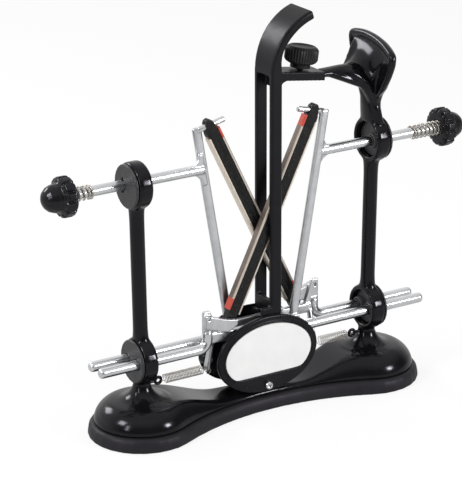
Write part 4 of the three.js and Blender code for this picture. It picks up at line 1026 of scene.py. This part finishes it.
def return_spring(word, side, material):
    """A close coil with a hook at each end: one through the post's eye, one through the frame's tab."""
    eye_low, eye_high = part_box(f"{word}_spring_eye")
    coil_low, coil_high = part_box(f"{word}_return_spring")
    z = (eye_low.z + eye_high.z) / 2
    inward = -side
    eye_edge = eye_high.x if inward > 0 else eye_low.x
    tab_edge = coil_high.x if inward > 0 else coil_low.x
    eye_centre = Vector((eye_edge - inward * EYE_HOOK_REACH + inward * RETURN_RADIUS, 0.0, z))
    start = eye_centre.x + inward * EYE_TO_COIL
    end = tab_edge - inward * COIL_TO_TAB
    way = Vector((inward, 0.0, 0.0))
    eye_hook = arc(
        eye_centre, way * RETURN_RADIUS, BACK * RETURN_RADIUS, *EYE_HOOK_ARC, RETURN_HOOK_STEPS,
    )
    coil = helix(start, end, (0.0, z), RETURN_RADIUS, RETURN_TURNS[word])
    bend = Vector((end + inward * TAB_BEND, RETURN_RADIUS * TAB_BEND_SHARE, z))
    through = Vector((tab_edge + inward * TAB_REACH, 0.0, z))
    tab_centre = Vector((tab_edge + inward * TAB_HOOK_X, 0.0, z)) + DOWN * TAB_HOOK_HALF[1]
    tab_hook = arc(
        tab_centre, way * TAB_HOOK_HALF[0], DOWN * TAB_HOOK_HALF[1], *TAB_HOOK_ARC, RETURN_HOOK_STEPS,
    )
    mesh = tube(f"{word}_return_coil", [eye_hook + coil + [bend, through] + tab_hook], RETURN_WIRE)
    piece = show(f"{word}_return_coil", mesh, None, "spring_steel", material, f"{word}_return_spring")
    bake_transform(piece)


def bumper_spring(word, material):
    """An open coil on the upper rod, with a closed turn at each end."""
    low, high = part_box(f"{word}_bumper_spring")
    _, y, z = joints[f"{word}_knob_turn"]["pos_m"]
    radius = (high.z - low.z) / 2 - BUMPER_WIRE / 2
    start, end = low.x + BUMPER_WIRE / 2, high.x - BUMPER_WIRE / 2
    first, last = start + BUMPER_LEAD, end - BUMPER_LEAD
    points = helix(start, first, (y, z), radius, 1)
    points += helix(first, last, (y, z), radius, BUMPER_TURNS[word])[1:]
    points += helix(last, end, (y, z), radius, 1)[1:]
    mesh = tube(f"{word}_bumper_coil", [points], BUMPER_WIRE)
    show(f"{word}_bumper_coil", mesh, f"{word}_slider", "spring_steel", material, f"{word}_bumper_spring")


# Stage and light


def floor_material():
    """A pale floor that takes a soft shadow; seen directly it is close to white, and in gloss darker."""
    made = bpy.data.materials.new("floor")
    made.use_nodes = True
    tree = made.node_tree
    tree.nodes.clear()
    matt = put(tree, "ShaderNodeBsdfDiffuse", {"Color": FLOOR_WHITE})
    glow = put(tree, "ShaderNodeEmission", {"Color": (1.0, 1.0, 1.0, 1.0)})
    ray = put(tree, "ShaderNodeLightPath")
    darker = maths(tree, "MULTIPLY", ray.outputs["Is Glossy Ray"], FLOOR_DARKER)
    tree.links.new(maths(tree, "SUBTRACT", 1.0, darker), glow.inputs["Strength"])
    seen = maths(tree, "MULTIPLY", ray.outputs["Is Camera Ray"], FLOOR_SEEN)
    mirrored = maths(tree, "MULTIPLY", ray.outputs["Is Glossy Ray"], FLOOR_MIRRORED)
    both = put(tree, "ShaderNodeMixShader")
    tree.links.new(maths(tree, "MAXIMUM", seen, mirrored), both.inputs[0])
    tree.links.new(matt.outputs[0], both.inputs[1])
    tree.links.new(glow.outputs[0], both.inputs[2])
    out = put(tree, "ShaderNodeOutputMaterial")
    tree.links.new(both.outputs[0], out.inputs["Surface"])
    return made


def make_floor():
    """A wide flat floor under the part."""
    mesh = bpy.data.meshes.new("floor")
    reach = FLOOR_REACH
    corners = [(-reach, -reach, 0), (reach, -reach, 0), (reach, reach, 0), (-reach, reach, 0)]
    mesh.from_pydata(corners, [], [(0, 1, 2, 3)])
    mesh.materials.append(floor_material())
    floor = bpy.data.objects.new("floor", mesh)
    bpy.context.scene.collection.objects.link(floor)


def make_world():
    """White to the camera, plain to matt surfaces, and for gloss bright at the back and above."""
    world = bpy.data.worlds.new("studio")
    bpy.context.scene.world = world
    world.use_nodes = True
    tree = world.node_tree
    tree.nodes.clear()
    ray = put(tree, "ShaderNodeLightPath")
    way = put(tree, "ShaderNodeTexCoord")
    split = put(tree, "ShaderNodeSeparateXYZ")
    tree.links.new(way.outputs["Generated"], split.inputs["Vector"])
    behind = remap(tree, split.outputs["Y"], *WORLD_BEHIND)
    above = remap(tree, split.outputs["Z"], *WORLD_ABOVE)
    mirrored = maths(tree, "MAXIMUM", behind, above)
    lit = mix(tree, "FLOAT", ray.outputs["Is Glossy Ray"], WORLD_PLAIN, mirrored)
    strength = mix(tree, "FLOAT", ray.outputs["Is Camera Ray"], lit, WORLD_SEEN)
    sky = put(tree, "ShaderNodeBackground", {"Color": (1.0, 1.0, 1.0, 1.0)})
    tree.links.new(strength, sky.inputs["Strength"])
    out = put(tree, "ShaderNodeOutputWorld")
    tree.links.new(sky.outputs[0], out.inputs["Surface"])


def make_lamps():
    """Area lamps that look at the middle of the part."""
    for name, way, distance, size, watts in LAMPS:
        data = bpy.data.lights.new(name, "AREA")
        data.shape = "RECTANGLE"
        data.size, data.size_y = size
        data.energy = watts
        lamp = bpy.data.objects.new(name, data)
        back = Vector(way).normalized()
        lamp.location = AIM_POINT + back * distance
        lamp.rotation_mode = "QUATERNION"
        lamp.rotation_quaternion = (-back).to_track_quat("-Z", "Y")
        bpy.context.scene.collection.objects.link(lamp)


def dress():
    """Makes the finishes and the fine pieces, and coats and rounds the CAD pieces that stay."""
    paint = black_paint()
    steel = spring_wire()
    bolts = screw_steel()
    housing = housing_plastic()
    frames = cast_metal()
    chrome = rod_chrome()
    carriers = carrier_black()
    finishing = finishing_steel()
    knobs = knob_plastic()
    bushes = bush_plastic()
    castings(paint)
    soft = {
        "base_boot": (boot_rubber(), "boot"),
        "housing_core": (housing, "housing"),
        "rear_cover": (housing, "housing"),
        "housing_bolt": (bolts, "bolt"),
    }
    crisp = {}
    guide_body(guide_plastic())
    badge(housing, plate_white())
    thumb_head(thumb_plastic())
    for node in ("badge_screw", "rear_screw_left", "rear_screw_right"):
        socket_screw(node, bolts)
    for word, side in SIDES:
        soft[f"{word}_post_bolt"] = (bolts, "bolt")
        soft[f"{word}_upper_bush"] = (bushes, "bush")
        soft[f"{word}_lower_bush"] = (bushes, "bush")
        soft[f"{word}_spring_eye"] = (paint, "eye")
        soft[f"{word}_frame"] = (frames, "frame")
        soft[f"{word}_carrier"] = (carriers, "carrier")
        soft[f"{word}_knob"] = (knobs, "knob")
        crisp[f"{word}_diamond_strip"] = (diamond_grit(word, side), DIAMOND_EDGE)
        crisp[f"{word}_finishing_strip"] = (finishing, FINISHING_EDGE)
        bush_collars(word, side, bushes)
        frame_rods(word, side, chrome)
        return_spring(word, side, steel)
        bumper_spring(word, steel)
    for name, (material, kind) in soft.items():
        coat(nodes[name], material)
        soften(nodes[name], *SKINS[kind])
    for name, (material, width) in crisp.items():
        coat(nodes[name], material)
        bevel(nodes[name], width)


bpy.context.scene.view_settings.view_transform = "Standard"
make_camera()
make_floor()
make_world()
make_lamps()
dress()
